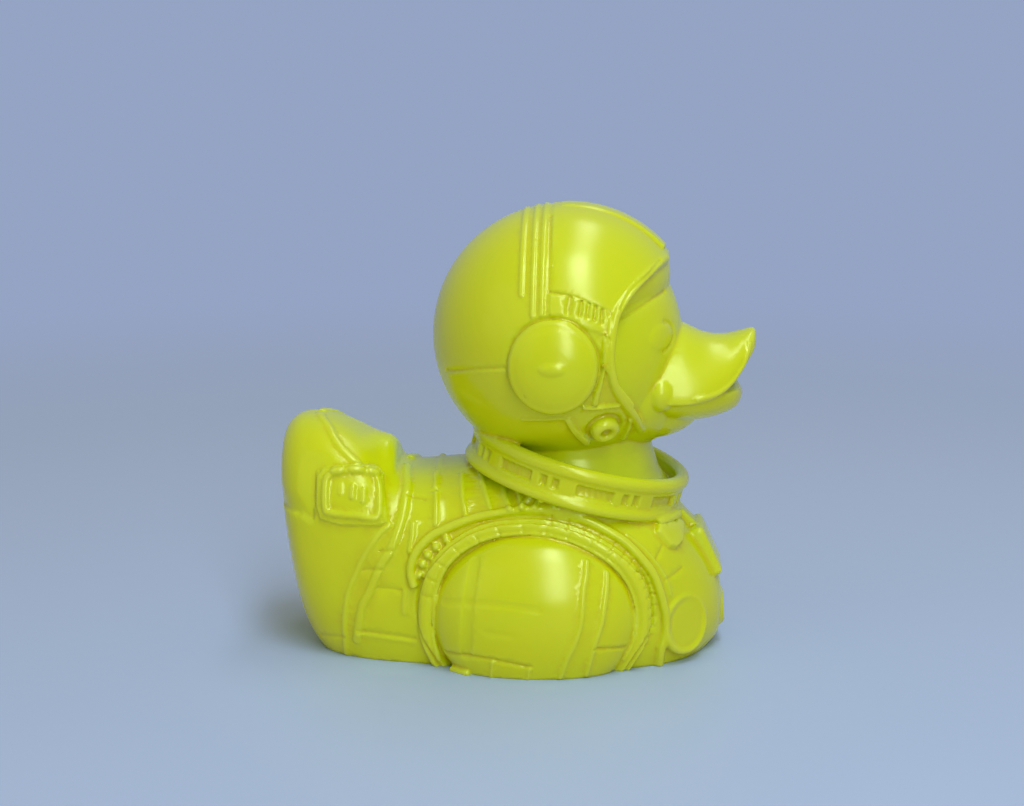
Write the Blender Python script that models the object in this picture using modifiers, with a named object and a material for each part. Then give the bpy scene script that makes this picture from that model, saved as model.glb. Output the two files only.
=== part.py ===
"""A rubber duck in a flight helmet and pressure suit, moulded in one piece.

Run with: blender --background --python part.py
The duck looks along +X, its left side is +Y, and it stands on z = 0. Sizes in the tables are millimetres.
"""

import math

import bmesh
import bpy
from mathutils import Matrix, Vector
from mathutils.bvhtree import BVHTree

MM = 0.001
DUCK_YELLOW = (0.52, 0.62, 0.0, 1.0)
DUCK_ROUGHNESS = 0.36

# Driving sizes
HEAD_CENTRE = Vector((11.7, 0.0, 63.5))
HELMET_RADIUS = 26.0
RING_CENTRE = Vector((14.8, 0.0, 36.6))
RING_TILT = math.radians(14.7)
RING_RADIUS = 22.6
WING_CENTRE = Vector((7.1, -21.0, 10.6))
WING_RADII = Vector((20.1, 9.8, 16.8))
CAP_RISE = 0.3
BADGE_RISE = 0.8
FAR_SIDE = 60.0

# Torso and tail from rear to chest: x, half width, lowest z, highest z, squareness of the section
TORSO_STATIONS = [
    (-45.0, 0.0, 36.0, 36.0, 2.0),
    (-44.6, 7.0, 28.5, 42.4, 2.0),
    (-43.0, 11.8, 16.4, 45.4, 2.1),
    (-40.0, 15.4, 4.4, 46.8, 2.3),
    (-35.0, 17.8, -3.0, 46.2, 2.6),
    (-28.0, 19.2, -7.0, 42.8, 2.9),
    (-23.5, 20.1, -8.0, 38.8, 2.9),
    (-18.5, 20.8, -9.0, 36.5, 2.8),
    (-10.0, 22.4, -10.0, 37.2, 2.5),
    (0.0, 24.0, -10.0, 37.8, 2.4),
    (10.0, 24.8, -10.0, 37.6, 2.4),
    (20.0, 24.2, -10.0, 36.4, 2.4),
    (29.0, 21.6, -9.0, 32.6, 2.4),
    (35.4, 17.2, -7.0, 27.2, 2.3),
    (40.8, 11.8, -1.0, 20.2, 2.2),
    (43.7, 6.4, 2.4, 14.2, 2.0),
    (44.4, 0.0, 8.0, 8.0, 2.0),
]

# Knob on the back of the tail, from rear to front, in the torso's columns
KNOB_STATIONS = [
    (-30.6, 0.0, 40.0, 40.0, 2.0),
    (-29.4, 4.2, 38.0, 42.6, 2.4),
    (-26.0, 6.2, 36.0, 42.9, 2.5),
    (-23.2, 6.4, 35.0, 42.5, 2.6),
    (-21.7, 5.2, 35.0, 41.2, 2.4),
    (-21.1, 0.0, 38.0, 38.0, 2.0),
]

# Upper bill from root to tip: x, half width, rim z, crown z
UPPER_BILL_STATIONS = [
    (25.0, 0.0, 57.0, 57.0),
    (26.5, 11.5, 53.0, 63.5),
    (30.0, 14.4, 52.2, 66.6),
    (35.0, 14.6, 51.8, 66.0),
    (40.0, 13.7, 52.5, 63.9),
    (44.0, 11.6, 54.2, 63.6),
    (47.4, 8.2, 58.0, 64.4),
    (49.8, 4.4, 61.4, 64.9),
    (50.4, 0.0, 63.4, 63.4),
]

# Lower bill from root to tip: x, half width, lowest z, upper z
LOWER_BILL_STATIONS = [
    (25.0, 0.0, 50.0, 50.0),
    (27.0, 11.0, 47.6, 52.4),
    (32.0, 13.6, 46.6, 52.2),
    (38.0, 12.8, 46.6, 52.3),
    (43.0, 10.4, 47.5, 53.0),
    (46.6, 6.6, 49.2, 53.2),
    (47.9, 0.0, 51.6, 51.6),
]


def blend_rows(stations, t):
    """The station at t, from 0 to 1 along the table, on a smooth curve through the rows."""
    last = len(stations) - 1
    place = min(max(t, 0.0), 1.0) * last
    i = min(int(place), last - 1)
    u = place - i
    rows = [stations[min(max(k, 0), last)] for k in (i - 1, i, i + 1, i + 2)]
    return [
        0.5 * (2 * b + (c - a) * u + (2 * a - 5 * b + 4 * c - d) * u * u + (3 * b - a - 3 * c + d) * u**3)
        for a, b, c, d in zip(*rows)
    ]


def smooth_path(points, count):
    """count points, evenly spaced by parameter, on a smooth curve through the given ones."""
    return [Vector(blend_rows(points, k / (count - 1))) for k in range(count)]


def signed_power(value, exponent):
    return math.copysign(abs(value) ** exponent, value)


def collection(name):
    made = bpy.data.collections.new(name)
    bpy.context.scene.collection.children.link(made)
    return made


def into(obj, group, name):
    """Names obj, moves it to group, and marks it as a form that is joined or cut, not shown by itself."""
    for holder in list(obj.users_collection):
        holder.objects.unlink(obj)
    group.objects.link(obj)
    obj.name = name
    obj.hide_render = True
    obj.display_type = "WIRE"
    return obj


def unit_sphere(segments, rings):
    bpy.ops.mesh.primitive_uv_sphere_add(segments=segments, ring_count=rings, radius=1.0)
    return bpy.context.object


def ellipsoid(name, group, centre, radii, segments, rings, axis="Y"):
    """A sphere stretched to the radii, its poles on the given axis."""
    obj = unit_sphere(segments, rings)
    turn = {"X": Matrix.Rotation(math.pi / 2, 4, "Y"), "Y": Matrix.Rotation(math.pi / 2, 4, "X")}
    obj.data.transform(turn.get(axis, Matrix()))
    obj.data.transform(Matrix.Diagonal((*radii, 1.0)))
    obj.data.transform(Matrix.Translation(centre))
    obj.data.transform(Matrix.Scale(MM, 4))
    return into(obj, group, name)


def lofted(name, group, stations, segments, rings, section):
    """A sphere whose rings are spread along X and reshaped by section(station, angle)."""
    obj = unit_sphere(segments, rings)
    for vertex in obj.data.vertices:
        along = math.acos(max(-1.0, min(1.0, vertex.co.z))) / math.pi
        angle = math.atan2(vertex.co.y, vertex.co.x)
        station = blend_rows(stations, along)
        y, z = section(station, angle)
        vertex.co = Vector((station[0], y, z)) * MM
    recalculate(obj)
    return into(obj, group, name)


def recalculate(obj):
    mesh = bmesh.new()
    mesh.from_mesh(obj.data)
    bmesh.ops.remove_doubles(mesh, verts=mesh.verts, dist=1e-6)
    bmesh.ops.recalc_face_normals(mesh, faces=mesh.faces)
    mesh.to_mesh(obj.data)
    mesh.free()


def full_section(station, angle):
    """A closed superellipse between the station's lowest and highest z."""
    _, half_width, low, high, squareness = station
    power = 2.0 / squareness
    y = half_width * signed_power(math.cos(angle), power)
    z = (low + high) / 2 + (high - low) / 2 * signed_power(math.sin(angle), power)
    return y, z


def bill_section(station, angle):
    """A dome over a nearly flat underside, so that the rim is an edge."""
    _, half_width, rim, crown = station
    y = half_width * math.cos(angle)
    rise = math.sin(angle)
    z = rim + (crown - rim) * rise**1.1 if rise > 0 else rim + 0.7 * rise
    return y, z


def jaw_section(station, angle):
    """A shallow tray: flat on top, rounded below."""
    _, half_width, low, high = station
    y = half_width * math.cos(angle)
    rise = math.sin(angle)
    z = high + 0.5 * rise if rise > 0 else high + (high - low) * rise
    return y, z


def as_mesh(curve_object):
    """The curve made a mesh with its caps welded; the curve itself is removed."""
    graph = bpy.context.evaluated_depsgraph_get()
    mesh = bpy.data.meshes.new_from_object(curve_object.evaluated_get(graph))
    made = bpy.data.objects.new("form", mesh)
    made.matrix_world = curve_object.matrix_world
    bpy.context.scene.collection.objects.link(made)
    bpy.data.objects.remove(curve_object)
    recalculate(made)
    return made


def curve_of(points, dimensions, cyclic=False):
    data = bpy.data.curves.new("path", "CURVE")
    data.dimensions = dimensions
    spline = data.splines.new("POLY")
    spline.points.add(len(points) - 1)
    for target, point in zip(spline.points, points):
        target.co = (*(Vector(point) * MM), 1.0)
    spline.use_cyclic_u = cyclic
    obj = bpy.data.objects.new("path", data)
    bpy.context.scene.collection.objects.link(obj)
    return obj


def bead(name, group, points, radius, cyclic=False, sides=6):
    """A round bead along the points."""
    obj = curve_of(points, "3D", cyclic)
    obj.data.bevel_depth = radius * MM
    obj.data.bevel_resolution = sides // 2 - 2
    obj.data.use_fill_caps = True
    bpy.context.view_layer.update()
    return into(as_mesh(obj), group, name)


def prism(name, group, outline, half_depth=FAR_SIDE):
    """A flat outline drawn in side view, (x, z), and extruded across the duck."""
    obj = curve_of([(x, z, 0.0) for x, z in outline], "2D", cyclic=True)
    obj.data.fill_mode = "BOTH"
    obj.data.extrude = half_depth * MM
    obj.rotation_euler = (math.pi / 2, 0.0, 0.0)
    bpy.context.view_layer.update()
    return into(as_mesh(obj), group, name)


def turned(name, group, profile, steps, place):
    """A profile of (radius, height) turned about the Z axis, then moved by the matrix."""
    mesh = bpy.data.meshes.new(name)
    work = bmesh.new()
    corners = [work.verts.new((radius * MM, 0.0, height * MM)) for radius, height in profile]
    for first, second in zip(corners, corners[1:]):
        work.edges.new((first, second))
    closed = profile[0][0] > 0.0
    if closed:
        work.edges.new((corners[-1], corners[0]))
    work.to_mesh(mesh)
    work.free()
    obj = bpy.data.objects.new(name, mesh)
    bpy.context.scene.collection.objects.link(obj)
    screw = obj.modifiers.new("turn", "SCREW")
    screw.steps = steps
    screw.render_steps = steps
    screw.use_merge_vertices = True
    screw.merge_threshold = 0.00001
    screw.use_normal_calculate = True
    obj.matrix_world = place
    return into(obj, group, name)


def box(name, group, size):
    bpy.ops.mesh.primitive_cube_add(size=1.0)
    obj = bpy.context.object
    obj.data.transform(Matrix.Diagonal((*size, 1.0)))
    obj.data.transform(Matrix.Scale(MM, 4))
    return into(obj, group, name)


def plate(name, group, point, outward, size, bevel=0.0, spin=0.0):
    """A block lying on a surface: width, height and thickness, centred on the point."""
    obj = box(name, group, size)
    obj.matrix_world = frame_at(point, outward, spin)
    if bevel:
        edge = obj.modifiers.new("rounded", "BEVEL")
        edge.width = bevel * MM
        edge.segments = 2
    return obj


def dome(name, group, point, outward, radii, segments, rings):
    """A small low dome standing on a surface."""
    obj = unit_sphere(segments, rings)
    obj.data.transform(Matrix.Diagonal((*radii, 1.0)))
    obj.data.transform(Matrix.Scale(MM, 4))
    obj.matrix_world = frame_at(point, outward)
    return into(obj, group, name)


def frame_at(point, outward, spin=0.0):
    """A matrix whose Z axis is outward and whose origin is the point, in millimetres."""
    turn = Vector(outward).to_track_quat("Z", "Y").to_matrix().to_4x4()
    return Matrix.Translation(Vector(point) * MM) @ turn @ Matrix.Rotation(spin, 4, "Z")


def finish(obj):
    """The material and the shading of the finished duck."""
    material = bpy.data.materials.new("duck_plastic")
    material.use_nodes = True
    surface = material.node_tree.nodes["Principled BSDF"]
    surface.inputs["Base Color"].default_value = DUCK_YELLOW
    surface.inputs["Roughness"].default_value = DUCK_ROUGHNESS
    obj.data.materials.append(material)
    obj.data.shade_smooth()
    obj.data.set_sharp_from_angle(angle=math.radians(40.0))


def lighten(obj, ratio):
    """Fewer faces where the surface is smooth."""
    step = obj.modifiers.new("lighten", "DECIMATE")
    step.ratio = ratio


def both_sides(obj):
    """Mirrors a form across the duck's middle."""
    middle = bpy.data.objects.get("middle") or bpy.data.objects.new("middle", None)
    if not middle.users_collection:
        bpy.context.scene.collection.objects.link(middle)
    mirror = obj.modifiers.new("both_sides", "MIRROR")
    mirror.use_axis = (False, True, False)
    mirror.mirror_object = middle
    mirror.use_mirror_merge = False
    return obj


def boolean(obj, operation, other):
    step = obj.modifiers.new(operation.lower(), "BOOLEAN")
    step.operation = operation
    if isinstance(other, bpy.types.Collection):
        step.operand_type = "COLLECTION"
        step.collection = other
    else:
        step.object = other


def surface_tree(objects):
    """A search tree of the objects' evaluated surfaces, in millimetres."""
    graph = bpy.context.evaluated_depsgraph_get()
    joined = bmesh.new()
    for obj in objects:
        part = bpy.data.meshes.new_from_object(obj.evaluated_get(graph))
        part.transform(obj.matrix_world)
        joined.from_mesh(part)
        bpy.data.meshes.remove(part)
    bmesh.ops.scale(joined, vec=(1 / MM,) * 3, verts=joined.verts)
    tree = BVHTree.FromBMesh(joined)
    joined.free()
    return tree


def touch(tree, start, direction):
    """Where a ray meets the surface, and the outward normal there."""
    hit, normal, _, _ = tree.ray_cast(Vector(start), Vector(direction))
    return hit, normal


def on_side(tree, path, sink=0.0):
    """Side-view points (x, z) carried onto the duck's right side, sunk a little below the surface."""
    found = []
    for x, z in path:
        hit, normal, _, _ = tree.ray_cast(Vector((x, -FAR_SIDE, z)), Vector((0.0, 1.0, 0.0)))
        if hit is not None:
            found.append(hit - normal * sink)
    return found


def round_body(tree, path, axis_z, sink=0.0):
    """Points given as (x, degrees up from the right) about a lengthwise axis, carried onto the surface."""
    found = []
    for x, degrees in path:
        angle = math.radians(degrees)
        outward = Vector((0.0, -math.cos(angle), math.sin(angle)))
        start = Vector((x, 0.0, axis_z)) + outward * FAR_SIDE
        hit, normal, _, _ = tree.ray_cast(start, -outward)
        if hit is not None:
            found.append(hit - normal * sink)
    return found


def on_helmet(x, z, radius=HELMET_RADIUS):
    """The point on the right side of the helmet's sphere at (x, z)."""
    dx = x - HEAD_CENTRE.x
    dz = z - HEAD_CENTRE.z
    return Vector((x, -math.sqrt(max(radius**2 - dx**2 - dz**2, 0.0)), z))


def across(points):
    """A path on the right side, continued from its first point as a mirror image on the left."""
    left = [Vector((p.x, -p.y, p.z)) for p in points[1:]]
    return left[::-1] + list(points)


def halfway(first, second, count):
    """A side-view path midway between two others."""
    pairs = zip(smooth_path(first, count), smooth_path(second, count))
    return [(a + b) / 2 for a, b in pairs]


def swollen(stations, rise):
    """The torso's stations moved outward by rise, apart from the width of its closed ends."""
    return [
        (x - rise, w + rise, low - rise, high + rise, n) if w else (x - rise, w, low, high, n)
        for x, w, low, high, n in stations
    ]


# Side-view paths, (x, z)
RIM_PATH = [
    (33.0, 79.4), (30.6, 79.0), (27.2, 76.8), (24.4, 73.9), (22.4, 70.6), (21.7, 66.5), (21.5, 62.0),
    (22.3, 57.6), (24.0, 54.0), (26.0, 50.4), (27.4, 46.5), (27.6, 43.6),
]
RAIL_TOP = [(9.9, 75.2), (14.8, 74.3), (19.4, 72.4), (21.6, 71.3)]
RAIL_FOOT = [(21.6, 66.9), (17.6, 68.3), (11.9, 70.4), (10.0, 71.0)]
CUFF_CREASE = [
    (-10.2, -3.0), (-11.4, 1.9), (-12.4, 6.8), (-12.2, 12.5), (-10.9, 18.6), (-8.3, 22.6), (-4.2, 25.4),
    (0.2, 26.8), (5.6, 27.3), (10.5, 26.9), (15.2, 25.6), (19.2, 23.6), (22.5, 21.2), (24.9, 18.0),
    (26.3, 14.0), (26.6, 10.0), (25.9, 6.2), (24.4, 3.0), (21.6, -2.0),
]
CUFF_EDGE = [
    (-10.4, -2.0), (-13.6, 3.2), (-15.4, 6.6), (-16.0, 10.0), (-15.9, 13.6), (-15.0, 17.6), (-13.2, 21.2),
    (-10.0, 24.8), (-5.6, 27.7), (-0.6, 29.4), (4.9, 30.0), (10.2, 29.8), (15.4, 28.6), (20.4, 26.4),
    (24.2, 23.8), (26.6, 21.4), (28.4, 18.8), (29.5, 15.8), (30.1, 12.2), (29.9, 8.8), (28.8, 6.0),
    (27.2, 3.6), (24.0, -2.0),
]
CUFF_RIDGE = [
    (-16.5, 16.2), (-17.3, 19.4), (-16.3, 22.9), (-13.9, 25.7), (-11.2, 27.3), (-5.6, 29.5), (-0.2, 30.7),
    (4.5, 31.3), (9.0, 31.3), (13.8, 30.6), (18.6, 29.0), (23.0, 26.7), (25.4, 24.9), (27.5, 22.7),
    (29.4, 20.3), (30.6, 18.0), (31.5, 15.4), (32.2, 12.6), (32.6, 10.4), (32.7, 8.2), (32.3, 6.0),
    (31.8, 3.8), (31.3, -2.0),
]
CUFF_STUDS = [(-15.4, 18.7), (-14.9, 20.9), (-13.9, 22.7), (-12.3, 24.3), (-10.2, 25.8)]
TAIL_CAP = [
    (-50.0, 29.7), (-42.2, 29.5), (-36.9, 28.6), (-36.6, 33.5), (-36.6, 37.9), (-33.0, 39.9), (-29.4, 40.3),
    (-31.5, 41.9), (-33.4, 43.6), (-34.8, 45.4), (-36.8, 46.7), (-37.6, 55.0), (-50.0, 55.0),
]
BADGE_PLATE = [
    (-36.2, 36.8), (-35.2, 38.2), (-31.8, 39.1), (-28.5, 39.2), (-25.4, 38.4), (-23.6, 36.8), (-22.7, 32.8),
    (-21.9, 28.6), (-23.4, 28.0), (-31.7, 27.9), (-35.4, 28.8), (-36.2, 31.2),
]
BADGE_FRAME = [
    (-34.4, 35.9), (-34.3, 31.2), (-33.1, 30.1), (-28.1, 29.8), (-24.2, 29.5), (-23.8, 32.4), (-24.4, 35.5),
    (-25.6, 37.1), (-28.7, 37.9), (-32.1, 37.8), (-33.8, 37.1),
]


def helmet(forms, guides):
    """The helmet's shell with its face opening, and the brow band inside that opening."""
    shell = ellipsoid("helmet_shell", forms, HEAD_CENTRE, (HELMET_RADIUS,) * 3, 44, 24)
    opening = prism("face_opening", guides, [(60.0, 79.4)] + RIM_PATH + [(27.6, 30.0), (60.0, 30.0)])
    boolean(shell, "DIFFERENCE", opening)
    brow = ellipsoid("brow_band", forms, Vector((10.7, 0.0, 75.6)), (22.4, 23.4, 14.0), 36, 20)
    behind_rim = [(x - 0.9, z + 0.3) for x, z in RIM_PATH if z > 70.0]
    brow_outline = [(40.0, 73.2), (31.2, 73.2), (27.6, 72.0), (22.2, 69.0), *behind_rim[::-1], (40.0, 79.7)]
    boolean(brow, "INTERSECT", prism("brow_outline", guides, brow_outline))


def visor_cover(forms, guides):
    """The raised cover over the front of the crown, with a strip along its middle."""
    above = [(x - 0.35, z + 0.1) for x, z in RIM_PATH if z > 71.0]
    outline = RAIL_TOP + above[::-1] + [(45.0, 86.0), (45.0, 95.0), (10.0, 95.0)]
    cover = ellipsoid("visor_cover", forms, HEAD_CENTRE + Vector((0.6, 0.0, 0.1)), (26.15,) * 3, 44, 24)
    boolean(cover, "INTERSECT", prism("cover_outline", guides, outline))
    strip = ellipsoid("centre_strip", forms, HEAD_CENTRE + Vector((1.2, 0.0, 0.1)), (26.4,) * 3, 60, 16)
    strip_outline = [(12.0, 80.0), (30.0, 80.0), (31.6, 81.4), (40.0, 88.0), (40.0, 95.0), (12.0, 95.0)]
    boolean(strip, "INTERSECT", prism("strip_outline", guides, strip_outline, half_depth=3.4))


def side_rails(forms, cuts, guides):
    """The slotted rail between the visor cover and the ear cup."""
    rail = ellipsoid("side_rail", forms, HEAD_CENTRE, (26.35,) * 3, 44, 24)
    under_cover = [(x + 0.1, z + 0.7) for x, z in RAIL_TOP]
    boolean(rail, "INTERSECT", prism("rail_outline", guides, under_cover + RAIL_FOOT))
    slots = [(12.9, 72.3, 1.9), (15.2, 71.8, 0.9), (17.0, 71.2, 0.9), (18.8, 70.4, 0.9)]
    for number, (x, z, width) in enumerate(slots):
        point = on_helmet(x, z)
        both_sides(plate(f"rail_slot_{number + 1}", cuts, point, point - HEAD_CENTRE, (width, 2.6, 1.1)))


def crown_bands(forms):
    """Three low beads over the crown, from ear to ear."""
    bands = [(4.5, 74.0, 0.7, 0.45), (6.6, 70.7, 0.65, 0.4), (8.8, 70.7, 0.65, 0.4)]
    for number, (x, end_z, radius, sink) in enumerate(bands):
        size = math.sqrt((HELMET_RADIUS - sink) ** 2 - (x - HEAD_CENTRE.x) ** 2)
        lowest = math.asin((end_z - HEAD_CENTRE.z) / size)
        turns = [lowest + (math.pi - 2 * lowest) * k / 18 for k in range(19)]
        points = [Vector((x, -size * math.cos(a), HEAD_CENTRE.z + size * math.sin(a))) for a in turns]
        bead(f"crown_band_{number + 1}", forms, points, radius, sides=4)


def face_rim(forms):
    """The bead round the face opening, from cheek to cheek over the brow."""
    right = [on_helmet(x, z) for x, z in smooth_path(RIM_PATH, 18)]
    right = [Vector((31.8, 0.0, 79.1))] + [point for point in right if point.y < -1.5]
    bead("face_rim", forms, across(right), 1.0)


def ear_cups(forms):
    """Stepped ear cups with a plain oval boss."""
    centre = on_helmet(10.6, 61.2)
    place = frame_at(centre, centre - HEAD_CENTRE)
    profile = [
        (0.0, 2.6), (5.2, 2.2), (5.5, 1.7), (6.4, 1.6), (6.7, 2.1), (7.5, 1.8), (8.5, 1.2), (8.9, 0.5),
        (8.9, -4.0), (0.0, -4.0),
    ]
    both_sides(turned("ear_cup", forms, profile, 28, place @ Matrix.Diagonal((1.0, 1.06, 1.0, 1.0))))
    outward = (centre - HEAD_CENTRE).normalized()
    both_sides(dome("ear_boss", forms, centre + outward * 2.4, outward, (3.0, 1.7, 0.8), 12, 6))


def ear_straps(forms):
    """The strap in front of each ear, which forks to a bracket with a round valve."""
    paths = {
        "strap": [(20.6, 67.0), (20.5, 64.0), (20.5, 61.0)],
        "strap_leg_rear": [(20.3, 61.4), (19.5, 58.0), (18.5, 53.4)],
        "strap_leg_front": [(20.7, 61.4), (22.4, 57.6), (25.2, 52.8)],
        "bracket_edge": [(16.4, 52.8), (20.6, 53.0), (24.6, 52.4)],
        "bracket_rear": [(14.0, 51.2), (14.8, 48.2), (16.8, 45.2)],
        "bracket_front": [(25.3, 50.6), (24.8, 47.8), (23.8, 45.2)],
    }
    for name, path in paths.items():
        points = [on_helmet(x, z, HELMET_RADIUS - 0.2) for x, z in smooth_path(path, 5)]
        both_sides(bead(name, forms, points, 0.85, sides=6))
    centre = on_helmet(20.2, 48.4)
    profile = [
        (0.0, 0.7), (1.0, 0.7), (1.2, 1.7), (2.3, 1.6), (2.8, 0.8), (3.4, 0.6), (4.0, 0.2), (4.1, -3.0),
        (0.0, -3.0),
    ]
    both_sides(turned("valve", forms, profile, 20, frame_at(centre, centre - HEAD_CENTRE)))


def helmet_seams(forms):
    """The seams behind and below the ear cup."""
    paths = {
        "ear_seam": [(-10.8, 57.8), (-5.0, 59.5), (2.0, 60.7)],
        "nape_seam": [(4.6, 50.3), (13.2, 50.9)],
    }
    for name, path in paths.items():
        points = [on_helmet(x, z, HELMET_RADIUS - 0.1) for x, z in smooth_path(path, 7)]
        both_sides(bead(name, forms, points, 0.4, sides=4))


def neck_ring(forms, cuts):
    """The tilted neck ring: two flanges and a wall between them with windows cut in it."""
    place = Matrix.Translation(RING_CENTRE * MM) @ Matrix.Rotation(RING_TILT, 4, "Y")
    r = RING_RADIUS
    profile = [
        (r - 1.5, 4.2), (r - 0.4, 3.7), (r, 2.9), (r - 0.1, 1.9), (r - 0.8, 1.5), (r - 0.8, -2.0), (r, -2.4),
        (r + 0.1, -3.4), (r - 0.7, -4.2), (r - 3.0, -4.2), (r - 3.0, 3.6),
    ]
    turned("neck_ring", forms, profile, 48, place)
    for turn in range(8):
        for number, (degrees, width) in enumerate([(0.0, 7.4), (17.0, 1.3), (23.5, 1.3)]):
            block = box(f"ring_window_{turn + 1}_{number + 1}", cuts, (1.8, width, 2.4))
            block.data.transform(Matrix.Translation(Vector((r - 0.6, 0.0, -0.25)) * MM))
            angle = math.radians(45.0 * turn + degrees + 11.0)
            block.data.transform(place @ Matrix.Rotation(angle, 4, "Z"))


def head(forms):
    """Face, jaw and neck under the helmet."""
    ellipsoid("face", forms, Vector((15.6, 0.0, 61.4)), (20.2, 22.0, 24.0), 36, 20)
    ellipsoid("jaw", forms, Vector((23.6, 0.0, 54.0)), (14.0, 16.4, 13.3), 24, 14)
    ellipsoid("chin", forms, Vector((28.4, 0.0, 50.0)), (11.6, 11.5, 7.5), 20, 12)
    neck = [(0.0, 46.0), (15.6, 46.0), (16.0, 41.0), (17.4, 36.5), (20.4, 32.0), (20.4, 26.0), (0.0, 26.0)]
    turned("neck", forms, neck, 32, Matrix.Translation(Vector((13.8, 0.0, 0.0)) * MM))


def bill(forms):
    """The upper and lower bill, with a rounded lobe at each corner of the mouth."""
    lofted("upper_bill", forms, UPPER_BILL_STATIONS, 26, 16, bill_section)
    lofted("lower_bill", forms, LOWER_BILL_STATIONS, 24, 12, jaw_section)
    both_sides(ellipsoid("mouth_corner", forms, Vector((31.0, -13.6, 53.4)), (2.1, 2.2, 3.4), 12, 8))


def eyes(forms, face):
    """A low oval eye with a lid rim on each side."""
    point, normal = touch(face, (31.2, -FAR_SIDE, 65.0), (0.0, 1.0, 0.0))
    profile = [(0.0, 0.6), (1.5, 0.5), (2.1, 0.1), (2.4, 0.45), (2.9, 0.3), (3.1, -1.5), (0.0, -1.5)]
    place = frame_at(point, normal) @ Matrix.Diagonal((0.85, 0.85, 1.0, 1.0))
    both_sides(turned("eye", forms, profile, 16, place))


def wings(group):
    """The smooth pad of each wing."""
    return both_sides(ellipsoid("wing_pad", group, WING_CENTRE, WING_RADII, 32, 16))


def cuffs(forms, torso):
    """The sleeve of each wing: a band round the pad, a ridge round that, and studs between at the rear."""
    band = on_side(torso, halfway(CUFF_CREASE, CUFF_EDGE, 26), sink=0.1)
    both_sides(bead("cuff_band", forms, band, 1.8, sides=8))
    ridge = on_side(torso, smooth_path(CUFF_RIDGE, 28), sink=0.2)
    both_sides(bead("cuff_ridge", forms, ridge, 0.9))
    for number, point in enumerate(on_side(torso, CUFF_STUDS)):
        both_sides(dome(f"cuff_stud_{number + 1}", forms, point, (0.0, -1.0, 0.2), (0.75, 0.75, 0.9), 6, 4))


def wing_seams(forms, tree):
    """The two raised seams down the front of each wing."""
    for name, path in {
        "wing_seam_rear": [(17.0, 23.8), (17.2, 18.6), (16.4, 12.2), (14.6, 6.4), (12.4, 0.6)],
        "wing_seam_front": [(21.2, 20.8), (21.0, 16.0), (20.1, 11.0), (18.8, 6.6), (17.6, 1.0)],
    }.items():
        both_sides(bead(name, forms, on_side(tree, smooth_path(path, 9), sink=0.15), 0.55, sides=4))


def flank_ribs(forms, tree):
    """The raised ribs of the suit between the neck ring and the wing, and one over the back."""
    paths = [
        [(-7.8, 37.4), (-6.8, 30.6)],
        [(-4.3, 36.8), (-1.9, 31.8)],
        [(0.5, 35.6), (2.0, 32.4)],
        [(-17.0, 28.4), (-17.5, 23.4)],
    ]
    for number, path in enumerate(paths):
        points = on_side(tree, smooth_path(path, 4), sink=0.1)
        both_sides(bead(f"flank_rib_{number + 1}", forms, points, 0.55, sides=4))
    right = on_side(tree, [(-12.6, 29.4), (-12.7, 32.0), (-12.8, 34.6)], sink=0.1)
    over = round_body(tree, [(-12.8, 66.0 + 48.0 * k / 6) for k in range(7)], 15.0, sink=0.1)
    left = [Vector((p.x, -p.y, p.z)) for p in right]
    bead("back_rib", forms, right + over + left[::-1], 0.55, sides=4)


def tail_straps(forms, tree):
    """The two straps that run from the badge down to the foot of the tail, and the seam at their foot."""
    front = [(-18.6, 34.6), (-18.8, 32.2), (-20.6, 25.4), (-23.0, 20.6), (-25.8, 14.3), (-28.6, 3.2)]
    rear = [(-22.6, 27.2), (-25.1, 24.2), (-28.3, 18.2), (-30.5, 11.4), (-31.0, 4.0), (-31.0, -1.0)]
    seam = [(-30.2, 6.4), (-23.3, 5.9), (-16.7, 5.2)]
    straps = [("strap_front", front, 0.9), ("strap_rear", rear, 0.6), ("base_seam", seam, 0.45)]
    for name, path, radius in straps:
        points = on_side(tree, smooth_path(path, 11), sink=0.15)
        both_sides(bead(name, forms, points, radius, sides=6))


def tail_cap(forms, guides):
    """The cap over the rear of the tail, and the knob on its back."""
    cap = lofted("tail_cap", forms, swollen(TORSO_STATIONS, CAP_RISE), 32, 26, full_section)
    boolean(cap, "INTERSECT", prism("cap_outline", guides, TAIL_CAP))
    lofted("tail_knob", forms, KNOB_STATIONS, 16, 12, full_section)


def tail_badges(forms, guides, tree):
    """A framed badge on a low plate on each side of the tail, its field bare but for two studs."""
    raised = lofted("badge_plate", forms, swollen(TORSO_STATIONS, BADGE_RISE), 32, 26, full_section)
    boolean(raised, "INTERSECT", prism("badge_outline", guides, BADGE_PLATE))
    frame = on_side(tree, BADGE_FRAME, sink=-BADGE_RISE)
    both_sides(bead("badge_frame", forms, frame, 0.7, cyclic=True, sides=6))
    studs = [
        (-28.9, 34.2, 0.8), (-26.9, 33.5, 0.8), (-32.1, 38.0, 1.0), (-28.7, 38.2, 1.0), (-25.4, 37.4, 1.0),
    ]
    for number, (x, z, radius) in enumerate(studs):
        point = on_side(tree, [(x, z)], sink=-BADGE_RISE)[0]
        size = (radius, radius * 1.2, 0.9)
        both_sides(dome(f"badge_stud_{number + 1}", forms, point, (-0.2, -1.0, 0.3), size, 8, 4))


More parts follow.
